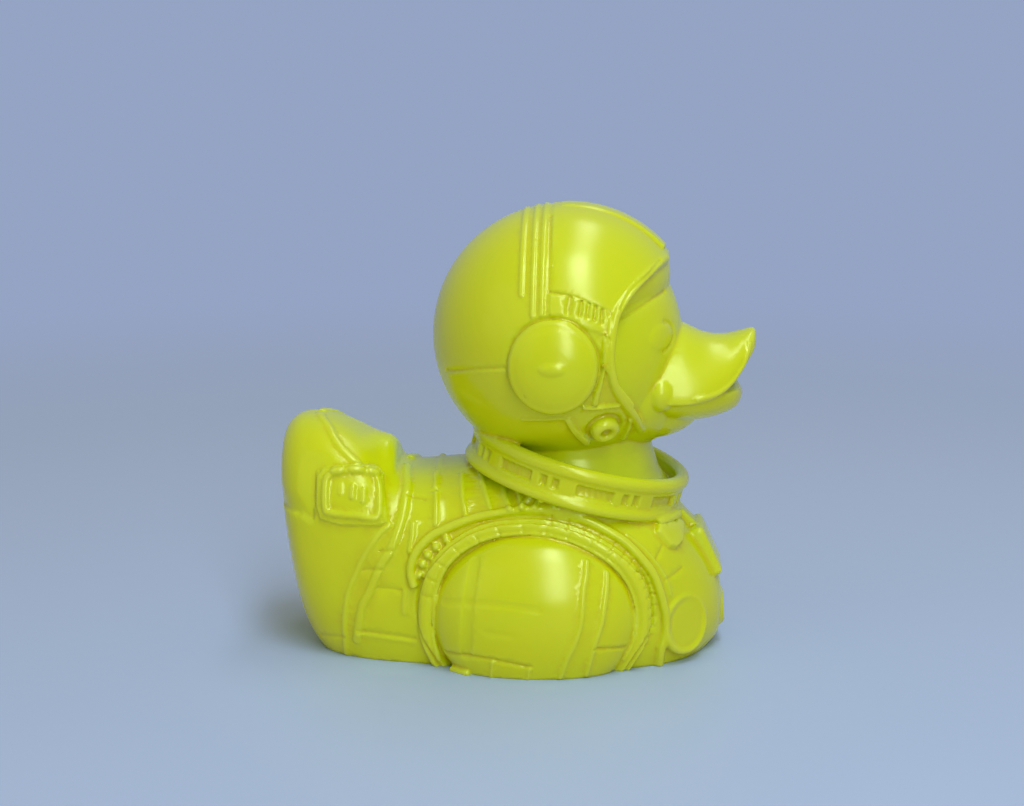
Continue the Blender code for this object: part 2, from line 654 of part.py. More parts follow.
def chest(forms, tree):
    """The control box, the harness tabs and the three discs on the chest."""
    upright = math.pi / 2
    box_point = Vector((39.9, 0.0, 19.5))
    plate("control_box", forms, box_point, (0.91, 0.0, 0.42), (10.8, 12.6, 5.2), bevel=0.9, spin=upright)
    clip_point = Vector((36.6, 0.0, 25.9))
    plate("box_clip", forms, clip_point, (0.70, 0.0, 0.71), (4.6, 5.4, 2.4), bevel=0.6, spin=upright)
    point, normal = touch(tree, (33.4, -FAR_SIDE, 25.4), (0.0, 1.0, 0.0))
    both_sides(plate("harness_tab", forms, point, normal, (4.8, 7.4, 2.0), bevel=0.8))
    facing = Vector((0.72, -0.69, 0.08))
    point, normal = touch(tree, Vector((36.4, -15.6, 8.0)) + facing * FAR_SIDE, -facing)
    disc = [(0.0, 0.3), (4.5, 0.2), (4.9, 0.6), (5.8, 0.6), (6.2, 0.0), (6.2, -3.0), (0.0, -3.0)]
    both_sides(turned("chest_disc", forms, disc, 24, frame_at(point, facing)))
    knob = [(0.0, 1.1), (2.4, 1.0), (2.8, 1.4), (3.6, 1.2), (3.9, 0.6), (3.9, -4.0), (0.0, -4.0)]
    turned("centre_disc", forms, knob, 20, frame_at(Vector((43.6, 0.0, 7.4)), (1.0, 0.0, 0.06)))


def heel_tabs(forms):
    """The small flat tab at the floor behind each wing."""
    turn = math.radians(-40.0)
    both_sides(plate("heel_tab", forms, (-6.9, -24.2, 0.2), (0.0, 0.0, 1.0), (5.0, 3.0, 1.4), 0.4, turn))


def main():
    for obj in list(bpy.data.objects):
        bpy.data.objects.remove(obj)
    shown = collection("rubber_duck")
    forms = collection("joined_forms")
    cuts = collection("cutters")
    guides = collection("outlines")
    duck = lofted("duck", shown, TORSO_STATIONS, 36, 24, full_section)
    duck.hide_render = False
    duck.display_type = "TEXTURED"
    head(forms)
    face = surface_tree([bpy.data.objects["face"]])
    torso = surface_tree([duck])
    body = surface_tree([duck, wings(forms)])
    helmet(forms, guides)
    visor_cover(forms, guides)
    side_rails(forms, cuts, guides)
    crown_bands(forms)
    face_rim(forms)
    ear_cups(forms)
    ear_straps(forms)
    helmet_seams(forms)
    bill(forms)
    eyes(forms, face)
    neck_ring(forms, cuts)
    cuffs(forms, torso)
    wing_seams(forms, body)
    flank_ribs(forms, body)
    tail_straps(forms, body)
    tail_cap(forms, guides)
    tail_badges(forms, guides, torso)
    chest(forms, torso)
    heel_tabs(forms)
    floor_trim = box("floor_trim", cuts, (200.0, 200.0, 200.0))
    floor_trim.location.z = -100.0 * MM
    boolean(duck, "UNION", forms)
    lighten(duck, 0.56)
    boolean(duck, "DIFFERENCE", cuts)
    finish(duck)


main()
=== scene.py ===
"""The finished look of a rubber duck in a flight helmet and pressure suit, moulded in one piece.

The duck looks along +X, its left side is +Y, and it stands on z = 0. Sizes in this file are millimetres; they
become metres when a shape is handed to Blender. The duck is symmetrical, so every shape is described on its
right side (negative y) and mirrored.
"""

import logging
import math
from collections.abc import Callable, Sequence
from dataclasses import dataclass, field
from enum import Enum

import bmesh
import bpy
import numpy as np
from mathutils import Matrix, Vector
from mathutils.bvhtree import BVHTree


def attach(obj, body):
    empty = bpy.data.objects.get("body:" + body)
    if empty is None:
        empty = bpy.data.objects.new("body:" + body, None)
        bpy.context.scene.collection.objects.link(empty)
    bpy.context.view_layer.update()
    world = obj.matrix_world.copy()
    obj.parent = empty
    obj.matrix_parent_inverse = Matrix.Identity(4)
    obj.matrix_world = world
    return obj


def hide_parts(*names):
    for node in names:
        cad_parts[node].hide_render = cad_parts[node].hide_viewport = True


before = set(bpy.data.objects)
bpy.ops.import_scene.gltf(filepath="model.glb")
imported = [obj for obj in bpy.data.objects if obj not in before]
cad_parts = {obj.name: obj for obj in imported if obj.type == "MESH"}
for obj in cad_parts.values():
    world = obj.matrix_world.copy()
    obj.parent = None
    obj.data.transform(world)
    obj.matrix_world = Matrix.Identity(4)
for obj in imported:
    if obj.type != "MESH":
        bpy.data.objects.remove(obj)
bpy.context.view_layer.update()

LOG = logging.getLogger("duck")
MM = 0.001
HEAD_CENTRE = Vector((11.7, 0.0, 63.5))
HELMET_RADIUS = 26.0
FAR = 80.0

Point2 = tuple[float, float]
Point3 = tuple[float, float, float]
Row = tuple[float, ...]
Path = tuple[Point2, ...]
Colour = tuple[float, float, float, float]
Chooser = Callable[[np.ndarray], np.ndarray]

BACKDROP: Colour = (0.30, 0.37, 0.55, 1.0)


class Detail(Enum):
    """How finely the duck is moulded: the voxel in millimetres and the number of triangles kept."""

    DRAFT = (0.6, 120_000)
    FULL = (0.3, 192_000)

    @property
    def voxel(self) -> float:
        """The voxel size in millimetres."""
        return self.value[0]

    @property
    def triangles(self) -> int:
        """The number of triangles kept."""
        return self.value[1]


class Section(Enum):
    """The cross-section of a line of relief."""

    ROUND = "round"
    FLAT = "flat"
    SHARP = "sharp"


@dataclass(frozen=True)
class Stroke:
    """A raised or sunk line drawn in side view, (x, z). A negative height sinks it."""

    path: Sequence[Point2]
    half_width: float
    height: float
    section: Section = Section.ROUND
    count: int = 24


def blend_rows(rows: Sequence[Sequence[float]], t: float) -> list[float]:
    """Reads a table of stations on a smooth curve through its rows.

    Args:
        rows: The stations, in order.
        t: The place along the table, from 0 to 1.

    Returns:
        The values of the station at t.
    """
    last = len(rows) - 1
    place = min(max(t, 0.0), 1.0) * last
    i = min(int(place), last - 1)
    u = place - i
    four = [rows[min(max(k, 0), last)] for k in (i - 1, i, i + 1, i + 2)]
    return [
        0.5 * (2 * b + (c - a) * u + (2 * a - 5 * b + 4 * c - d) * u * u + (3 * b - a - 3 * c + d) * u**3)
        for a, b, c, d in zip(*four)
    ]


def smooth_path(points: Sequence[Sequence[float]], count: int) -> list[Vector]:
    """Returns count points on a smooth curve through the given points."""
    return [Vector(blend_rows(points, k / (count - 1))) for k in range(count)]


def signed_power(value: float, exponent: float) -> float:
    """Returns the power of the value's size, with the value's sign."""
    return math.copysign(abs(value) ** exponent, value)


def frame_at(point: Sequence[float], outward: Sequence[float], spin: float = 0.0) -> Matrix:
    """Makes a placement whose z axis points outward.

    Args:
        point: The origin of the placement.
        outward: The direction of its z axis.
        spin: A turn about that axis, in radians.

    Returns:
        The placement, in millimetres.
    """
    turn = Vector(outward).to_track_quat("Z", "Y").to_matrix().to_4x4()
    return Matrix.Translation(Vector(point)) @ turn @ Matrix.Rotation(spin, 4, "Z")


def on_helmet(x: float, z: float) -> Vector:
    """Returns the point on the right side of the helmet's sphere at (x, z)."""
    flat = HELMET_RADIUS**2 - (x - HEAD_CENTRE.x) ** 2 - (z - HEAD_CENTRE.z) ** 2
    return Vector((x, -math.sqrt(max(flat, 0.0)), z))


def mirrored(points: Sequence[Vector]) -> list[Vector]:
    """Returns the points on the duck's other side."""
    return [Vector((p.x, -p.y, p.z)) for p in points]


class Forms:
    """Closed shells that overlap, collected to be moulded into one surface."""

    def __init__(self) -> None:
        """Starts an empty collection."""
        self.shells: list[bpy.types.Mesh] = []

    def keep(self, work: bmesh.types.BMesh, both_sides: bool = False) -> None:
        """Adds a shell, and its mirror image if asked.

        Args:
            work: The shell, in millimetres. It is freed here.
            both_sides: Whether the other side of the duck has it too.
        """
        bmesh.ops.remove_doubles(work, verts=work.verts, dist=1e-4)
        bmesh.ops.recalc_face_normals(work, faces=work.faces)
        for side in (1.0, -1.0) if both_sides else (1.0,):
            mesh = bpy.data.meshes.new("shell")
            copy = work.copy()
            if side < 0:
                bmesh.ops.scale(copy, vec=(1.0, -1.0, 1.0), verts=copy.verts)
                bmesh.ops.reverse_faces(copy, faces=copy.faces)
            copy.to_mesh(mesh)
            copy.free()
            self.shells.append(mesh)
        work.free()

    def joined(self) -> bpy.types.Mesh:
        """Joins all the shells and leaves the collection empty.

        Returns:
            One mesh, in metres.
        """
        work = bmesh.new()
        for mesh in self.shells:
            work.from_mesh(mesh)
            bpy.data.meshes.remove(mesh)
        self.shells.clear()
        bmesh.ops.scale(work, vec=(MM, MM, MM), verts=work.verts)
        mesh = bpy.data.meshes.new("shells")
        work.to_mesh(mesh)
        work.free()
        return mesh


def ball(centre: Sequence[float], radii: Sequence[float], segments: int = 96, rings: int = 56) -> bmesh.types.BMesh:
    """Makes an ellipsoid with its poles to the duck's sides.

    Args:
        centre: Its centre.
        radii: Its three half axes.
        segments: Faces round it.
        rings: Faces from pole to pole.

    Returns:
        The closed shell.
    """
    work = bmesh.new()
    place = Matrix.Translation(Vector(centre)) @ Matrix.Diagonal((*radii, 1.0)) @ Matrix.Rotation(math.pi / 2, 4, "X")
    bmesh.ops.create_uvsphere(work, u_segments=segments, v_segments=rings, radius=1.0, matrix=place)
    return work


def loft(
    rows: Sequence[Sequence[float]],
    section: Callable[[Sequence[float], float], Point2],
    segments: int,
    rings: int,
) -> bmesh.types.BMesh:
    """Makes a closed form whose sections are spread along x.

    Args:
        rows: The stations; the first value of each is its x.
        section: Gives y and z for a station and an angle.
        segments: Faces round each section.
        rings: Sections from end to end.

    Returns:
        The closed shell.
    """
    work = bmesh.new()
    bmesh.ops.create_uvsphere(work, u_segments=segments, v_segments=rings, radius=1.0)
    for vertex in work.verts:
        along = math.acos(max(-1.0, min(1.0, vertex.co.z))) / math.pi
        station = blend_rows(rows, along)
        vertex.co = (station[0], *section(station, math.atan2(vertex.co.y, vertex.co.x)))
    return work


def turned(profile: Sequence[Point2], steps: int, place: Matrix) -> bmesh.types.BMesh:
    """Turns a profile of (radius, height) about the z axis of a placement.

    Args:
        profile: The points of the profile. It closes on itself if it doesn't start on the axis.
        steps: Faces round the turn.
        place: Where the turned form stands.

    Returns:
        The closed shell.
    """
    work = bmesh.new()
    corners = [work.verts.new((radius, 0.0, height)) for radius, height in profile]
    if profile[0][0] > 0.0:
        corners.append(corners[0])
    edges = [work.edges.new(pair) for pair in zip(corners, corners[1:])]
    bmesh.ops.spin(
        work,
        geom=[*work.verts, *edges],
        cent=(0.0, 0.0, 0.0),
        axis=(0.0, 0.0, 1.0),
        angle=2 * math.pi,
        steps=steps,
        use_merge=True,
    )
    bmesh.ops.remove_doubles(work, verts=work.verts, dist=1e-4)
    bmesh.ops.transform(work, matrix=place, verts=work.verts)
    return work


def block(size: Sequence[float], bevel: float, place: Matrix) -> bmesh.types.BMesh:
    """Makes a block with rounded edges.

    Args:
        size: Its three full sizes.
        bevel: The width of its rounded edges.
        place: Where it stands.

    Returns:
        The closed shell.
    """
    work = bmesh.new()
    bmesh.ops.create_cube(work, size=1.0, matrix=Matrix.Diagonal((*size, 1.0)))
    bmesh.ops.bevel(
        work, geom=work.edges, offset=bevel, offset_type="OFFSET", affect="EDGES", segments=4, profile=0.5, material=-1
    )
    bmesh.ops.transform(work, matrix=place, verts=work.verts)
    return work


def tube(points: Sequence[Vector], radii: Point2, outward: Callable[[Vector], Vector]) -> bmesh.types.BMesh:
    """Sweeps a round or oval section along a path.

    Args:
        points: The path.
        radii: The section's half width across the path and its half height along outward.
        outward: Gives the direction away from the surface at a point.

    Returns:
        The closed shell.
    """
    places = []
    for k, point in enumerate(points):
        run = (points[min(k + 1, len(points) - 1)] - points[max(k - 1, 0)]).normalized()
        up = outward(point)
        up = (up - run * up.dot(run)).normalized()
        side = up.cross(run)
        turn = Matrix((side, up, run)).transposed().to_4x4()
        places.append(Matrix.Translation(point) @ turn @ Matrix.Diagonal((*radii, 1.0, 1.0)))
    work = bmesh.new()
    bmesh.ops.create_circle(work, cap_ends=True, segments=12, radius=1.0, matrix=places[0])
    ring = list(work.verts)
    edges = list(work.edges)
    for before, after in zip(places, places[1:]):
        grown = bmesh.ops.extrude_edge_only(work, edges=edges)["geom"]
        ring = [item for item in grown if isinstance(item, bmesh.types.BMVert)]
        fresh = set(ring)
        edges = [item for item in grown if isinstance(item, bmesh.types.BMEdge) and fresh.issuperset(item.verts)]
        bmesh.ops.transform(work, matrix=after @ before.inverted(), verts=ring)
    bmesh.ops.contextual_create(work, geom=edges)
    return work


def prism(outline: Sequence[Point2], half_depth: float = FAR) -> bmesh.types.BMesh:
    """Extrudes an outline drawn in side view, (x, z), across the duck.

    Args:
        outline: Its corners.
        half_depth: How far it reaches to each side.

    Returns:
        The closed shell.
    """
    work = bmesh.new()
    base = work.faces.new([work.verts.new((x, -half_depth, z)) for x, z in outline])
    grown = bmesh.ops.extrude_face_region(work, geom=[base])["geom"]
    corners = [item for item in grown if isinstance(item, bmesh.types.BMVert)]
    bmesh.ops.translate(work, vec=(0.0, 2 * half_depth, 0.0), verts=corners)
    bmesh.ops.recalc_face_normals(work, faces=work.faces)
    return work


def carved(work: bmesh.types.BMesh, cutter: bmesh.types.BMesh, operation: str) -> bmesh.types.BMesh:
    """Cuts a shell with another.

    Args:
        work: The shell that is cut. It is freed here.
        cutter: The other shell. It is freed here.
        operation: The Boolean operation's name.

    Returns:
        The cut shell.
    """
    objects = []
    for shell in (work, cutter):
        bmesh.ops.recalc_face_normals(shell, faces=shell.faces)
        mesh = bpy.data.meshes.new("cut")
        shell.to_mesh(mesh)
        shell.free()
        objects.append(staged(mesh))
    step = objects[0].modifiers.new("cut", "BOOLEAN")
    step.operation = operation
    step.object = objects[1]
    result = bmesh.new()
    result.from_mesh(evaluated(objects[0]))
    for obj in objects:
        bpy.data.objects.remove(obj)
    return result


def staged(data: bpy.types.ID) -> bpy.types.Object:
    """Puts a mesh, lamp or camera into the scene.

    Args:
        data: The mesh, lamp or camera.

    Returns:
        Its new object, named after it.
    """
    obj = bpy.data.objects.new(data.name, data)
    bpy.context.scene.collection.objects.link(obj)
    return obj


def evaluated(obj: bpy.types.Object) -> bpy.types.Mesh:
    """Applies the modifiers of an object to a new mesh.

    Args:
        obj: The object. It stays as it is.

    Returns:
        The new mesh.
    """
    bpy.context.view_layer.update()
    graph = bpy.context.evaluated_depsgraph_get()
    return bpy.data.meshes.new_from_object(obj.evaluated_get(graph))


def soft_step(value: np.ndarray) -> np.ndarray:
    """Returns 0 below 0, 1 above 1, and a smooth rise between them."""
    t = np.clip(value, 0.0, 1.0)
    return t * t * (3.0 - 2.0 * t)


def distance_to_path(points: np.ndarray, path: np.ndarray) -> np.ndarray:
    """Measures how far points are from a path, in two or three dimensions.

    Args:
        points: The points, one in each row.
        path: The corners of the path, one in each row.

    Returns:
        The distance of each point.
    """
    nearest = np.full(len(points), np.inf)
    for start, end in zip(path, path[1:]):
        run = end - start
        length = float(run @ run) or 1e-9
        t = np.clip((points - start) @ run / length, 0.0, 1.0)
        nearest = np.minimum(nearest, np.linalg.norm(points - start - t[:, None] * run, axis=1))
    return nearest


def inside_outline(points: np.ndarray, outline: np.ndarray) -> np.ndarray:
    """Finds the points that lie inside a closed outline.

    Args:
        points: The points, two values in each row.
        outline: The corners of the outline, one in each row.

    Returns:
        True for each point that lies inside.
    """
    inside = np.zeros(len(points), dtype=bool)
    x, z = points[:, 0], points[:, 1]
    for (x0, z0), (x1, z1) in zip(outline, np.roll(outline, -1, axis=0)):
        crosses = (z0 > z) != (z1 > z)
        inside ^= crosses & (x < (x1 - x0) * (z - z0) / ((z1 - z0) or 1e-9) + x0)
    return inside


def read_vertices(mesh: bpy.types.Mesh) -> tuple[np.ndarray, np.ndarray]:
    """Reads a mesh's vertices.

    Args:
        mesh: The mesh, in metres.

    Returns:
        Their places, in millimetres, and their normals, one in each row.
    """
    flat = np.empty(len(mesh.vertices) * 3)
    mesh.vertices.foreach_get("co", flat)
    places = flat.reshape(-1, 3) / MM
    mesh.vertex_normals.foreach_get("vector", flat)
    return places, flat.reshape(-1, 3)


class Surface:
    """A surface that is looked up along rays."""

    def __init__(self, work: bmesh.types.BMesh) -> None:
        """Prepares the surface.

        Args:
            work: Its faces, in millimetres. They are freed here.
        """
        self.tree = BVHTree.FromBMesh(work)
        work.free()

    def touch(self, start: Sequence[float], direction: Sequence[float]) -> tuple[Vector | None, Vector | None]:
        """Returns where a ray meets the surface, if it does, and the normal there."""
        point, normal, _, _ = self.tree.ray_cast(Vector(start), Vector(direction))
        return point, normal

    def side(self, path: Sequence[Point2], count: int, sink: float = 0.0) -> list[Vector]:
        """Carries a path drawn in side view onto the duck's right side.

        Args:
            path: Its points, (x, z).
            count: How many points the carried path has.
            sink: How far the points lie below the surface.

        Returns:
            The points.
        """
        hits = (self.touch((x, -FAR, z), (0.0, 1.0, 0.0)) for x, z in smooth_path(path, count))
        return [point - normal * sink for point, normal in hits if point is not None]


class Relief(Surface):
    """Raises and sinks the surface of a mesh along its normals, on both sides of the duck at once."""

    def __init__(self, mesh: bpy.types.Mesh) -> None:
        """Reads the mesh.

        Args:
            mesh: The moulded surface, in metres.
        """
        self.mesh = mesh
        self.places, self.normals = read_vertices(mesh)
        self.folded = self.places.copy()
        self.folded[:, 1] = -np.abs(self.places[:, 1])
        self.lift = np.zeros(len(self.places))
        work = bmesh.new()
        work.from_mesh(mesh)
        bmesh.ops.scale(work, vec=(1 / MM,) * 3, verts=work.verts)
        super().__init__(work)

    def line(
        self,
        path: Sequence[Vector],
        half_width: float,
        height: float,
        section: Section = Section.ROUND,
        where: Chooser | None = None,
    ) -> None:
        """Raises or sinks a line along a path that lies on the right side of the surface.

        Args:
            path: The points of the line.
            half_width: Half the line's width.
            height: How far it stands out, or how deep it is if negative.
            section: Its cross-section.
            where: Says which points may move.
        """
        if len(path) < 2:
            return
        ends = np.array([tuple(p) for p in path])
        low = ends.min(axis=0) - half_width
        high = ends.max(axis=0) + half_width
        near = np.flatnonzero(((self.folded > low) & (self.folded < high)).all(axis=1))
        if where is not None:
            near = near[where(self.folded[near])]
        t = distance_to_path(self.folded[near], ends) / half_width
        if section is Section.FLAT:
            amount = soft_step((1.0 - t) * 2.2)
        elif section is Section.SHARP:
            amount = np.clip(1.0 - t, 0.0, 1.0)
        else:
            amount = np.sqrt(np.clip(1.0 - t * t, 0.0, 1.0))
        self.lift[near] += height * amount

    def draw(self, *strokes: Stroke) -> None:
        """Draws strokes on whatever the side view shows under them."""
        for stroke in strokes:
            self.line(self.side(stroke.path, stroke.count), stroke.half_width, stroke.height, stroke.section)

    def draw_on_helmet(self, *strokes: Stroke) -> None:
        """Draws strokes on the helmet's sphere.

        Args:
            *strokes: The strokes.
        """
        for stroke in strokes:
            path = [on_helmet(x, z) for x, z in smooth_path(stroke.path, stroke.count)]
            self.line(path, stroke.half_width, stroke.height, stroke.section)

    def panel(self, outline: Sequence[Point2], height: float, edge: float, where: Chooser) -> None:
        """Raises or sinks all of an outline drawn in side view.

        Args:
            outline: Its corners, (x, z).
            height: How far it moves.
            edge: The width of its sloping edge.
            where: Says which points may move.
        """
        closed = np.array([tuple(p) for p in outline])
        flat = self.folded[:, (0, 2)]
        low, high = closed.min(axis=0) - edge, closed.max(axis=0) + edge
        near = np.flatnonzero(((flat > low) & (flat < high)).all(axis=1))
        near = near[where(self.folded[near])]
        away = distance_to_path(flat[near], np.vstack((closed, closed[:1])))
        away[~inside_outline(flat[near], closed)] *= -1.0
        self.lift[near] += height * soft_step(away / edge + 0.5)

    def apply(self) -> None:
        """Moves the mesh's vertices."""
        moved = (self.places + self.normals * self.lift[:, None]) * MM
        self.mesh.vertices.foreach_set("co", moved.ravel())
        self.mesh.update()


class Body(Surface):
    """The surface of the torso alone, on which other parts are placed."""

    def __init__(self, torso: "Torso") -> None:
        """Builds the surface.

        Args:
            torso: The torso.
        """
        work = loft(torso.stations, torso.section, 128, 96)
        bmesh.ops.recalc_face_normals(work, faces=work.faces)
        super().__init__(work)


class Part:
    """A sub-assembly of the duck."""

    def build(self, forms: Forms, body: Body) -> None:
        """Adds closed forms; a part without any leaves this out."""

    def decorate(self, relief: Relief) -> None:
        """Draws relief on the moulded surface; a part without any leaves this out."""


@dataclass(frozen=True)
class Torso(Part):
    """The body and tail in the suit.

    Each station holds x, half width, lowest z, highest z and the squareness of its section.
    """

    stations: tuple[Row, ...] = (
        (-45.0, 0.0, 36.0, 36.0, 2.0),
        (-44.6, 7.0, 28.5, 42.4, 2.0),
        (-43.0, 11.8, 16.4, 45.4, 2.1),
        (-40.0, 15.4, 4.4, 46.8, 2.3),
        (-35.0, 17.8, -3.0, 46.2, 2.6),
        (-28.0, 19.2, -7.0, 42.8, 2.9),
        (-23.5, 20.1, -8.0, 38.8, 2.9),
        (-18.5, 20.8, -9.0, 36.5, 2.8),
        (-10.0, 22.4, -10.0, 37.2, 2.5),
        (0.0, 24.0, -10.0, 37.8, 2.4),
        (10.0, 24.8, -10.0, 37.6, 2.4),
        (20.0, 24.2, -10.0, 36.4, 2.4),
        (29.0, 21.6, -9.0, 32.6, 2.4),
        (35.4, 17.2, -7.0, 27.2, 2.3),
        (40.8, 11.8, -1.0, 20.2, 2.2),
        (43.7, 6.4, 2.4, 14.2, 2.0),
        (44.4, 0.0, 8.0, 8.0, 2.0),
    )
    hump: Path = (
        (-28.6, 0.0), (-27.4, 0.6), (-26.0, 1.7), (-24.5, 2.9), (-23.2, 3.6), (-22.2, 3.5), (-21.7, 3.0), (-21.1, 0.0),
    )
    hump_half_width: float = 12.0
    hump_lowest: float = 33.0
    ribs: tuple[Path, ...] = (
        ((-13.3, 36.2), (-13.1, 35.2), (-13.0, 34.4)),
        ((-8.0, 36.2), (-7.5, 33.4), (-6.7, 30.3)),
        ((-4.3, 36.9), (-3.1, 34.3), (-1.8, 31.5)),
        ((0.6, 35.3), (0.9, 33.6), (2.0, 31.9)),
        ((3.4, 34.6), (4.1, 33.2), (4.3, 32.1)),
        ((6.0, 34.0), (5.1, 32.9), (4.5, 32.1)),
        ((8.2, 33.9), (7.5, 33.0), (6.9, 32.3)),
        ((10.8, 33.2), (10.85, 32.7), (10.9, 32.3)),
    )
    creases: tuple[Path, ...] = (
        ((-24.2, 15.5), (-21.6, 15.5), (-19.3, 15.4)),
        ((-18.5, 33.0), (-16.6, 32.8), (-14.8, 32.5)),
        ((-26.9, 19.0), (-25.0, 19.3), (-23.0, 19.4)),
        ((-23.4, 23.0), (-22.2, 23.1), (-21.0, 23.2)),
        ((32.6, 17.7), (34.2, 18.2), (35.9, 19.1)),
        ((32.0, 23.9), (31.4, 22.9), (30.8, 21.9)),
    )
    sleeve_ribs: tuple[Stroke, ...] = (
        Stroke(((-17.0, 28.3), (-17.15, 26.0), (-17.5, 23.3)), 0.65, 0.42),
        Stroke(((-18.4, 15.2), (-18.5, 13.2), (-18.6, 11.0)), 0.75, 0.25),
        Stroke(((-12.5, 28.4), (-12.6, 31.0), (-12.8, 33.5)), 0.6, 0.42, count=8),
    )
    back_rib_at: Point3 = (-13.2, 0.0, 15.0)
    tab_at: Point3 = (-6.9, -24.2, 0.2)
    tab_size: Point3 = (5.0, 3.0, 1.4)
    tab_turn: float = math.radians(-40.0)
    base_seams: tuple[Stroke, ...] = (
        Stroke(((-28.0, 6.3), (-23.3, 6.1), (-16.7, 5.5)), 0.5, -0.2),
        Stroke(((-28.0, 5.5), (-23.3, 5.2), (-16.7, 4.6)), 0.6, 0.15),
        Stroke(((-36.5, 3.4), (-33.8, 4.1), (-31.1, 4.5)), 0.5, -0.2),
    )

    @staticmethod
    def section(station: Sequence[float], angle: float) -> Point2:
        """Gives a point on a rounded square section.

        Args:
            station: The values of the station.
            angle: The point's angle round the section.

        Returns:
            Its y and z.
        """
        _, half_width, low, high, squareness = station
        power = 2.0 / squareness
        y = half_width * signed_power(math.cos(angle), power)
        return y, (low + high) / 2 + (high - low) / 2 * signed_power(math.sin(angle), power)

    def build(self, forms: Forms, body: Body) -> None:
        """Adds the torso and the small tabs at the floor.

        Args:
            forms: The shells.
            body: The torso's surface; not used here.
        """
        forms.keep(loft(self.stations, self.section, 128, 96))
        place = frame_at(self.tab_at, (0.0, 0.0, 1.0), self.tab_turn)
        forms.keep(block(self.tab_size, 0.4, place), both_sides=True)

    def decorate(self, relief: Relief) -> None:
        """Raises the low hump on the back, and draws the ribs and seams of the suit.

        Args:
            relief: The surface.
        """
        x, y, z = relief.places.T
        across = np.clip(y / self.hump_half_width, -1.0, 1.0)
        rise = np.interp(x, *zip(*self.hump)) * np.cos(across * math.pi / 2) ** 2
        relief.places[:, 2] += np.where(z > self.hump_lowest, rise, 0.0)
        relief.draw(*(Stroke(path, 0.6, 0.42) for path in self.ribs))
        relief.draw(*(Stroke(path, 0.35, -0.22, count=8) for path in self.creases))
        relief.draw(*self.sleeve_ribs)
        over = []
        for k in range(13):
            angle = math.radians(72.0 + 36.0 * k / 12)
            outward = Vector((0.0, -math.cos(angle), math.sin(angle)))
            hit, _ = relief.touch(Vector(self.back_rib_at) + outward * 32.0, -outward)
            if hit is not None and hit.y <= 0.01:
                over.append(hit)
        relief.line(over, 0.55, 0.25)
        relief.draw(*self.base_seams)


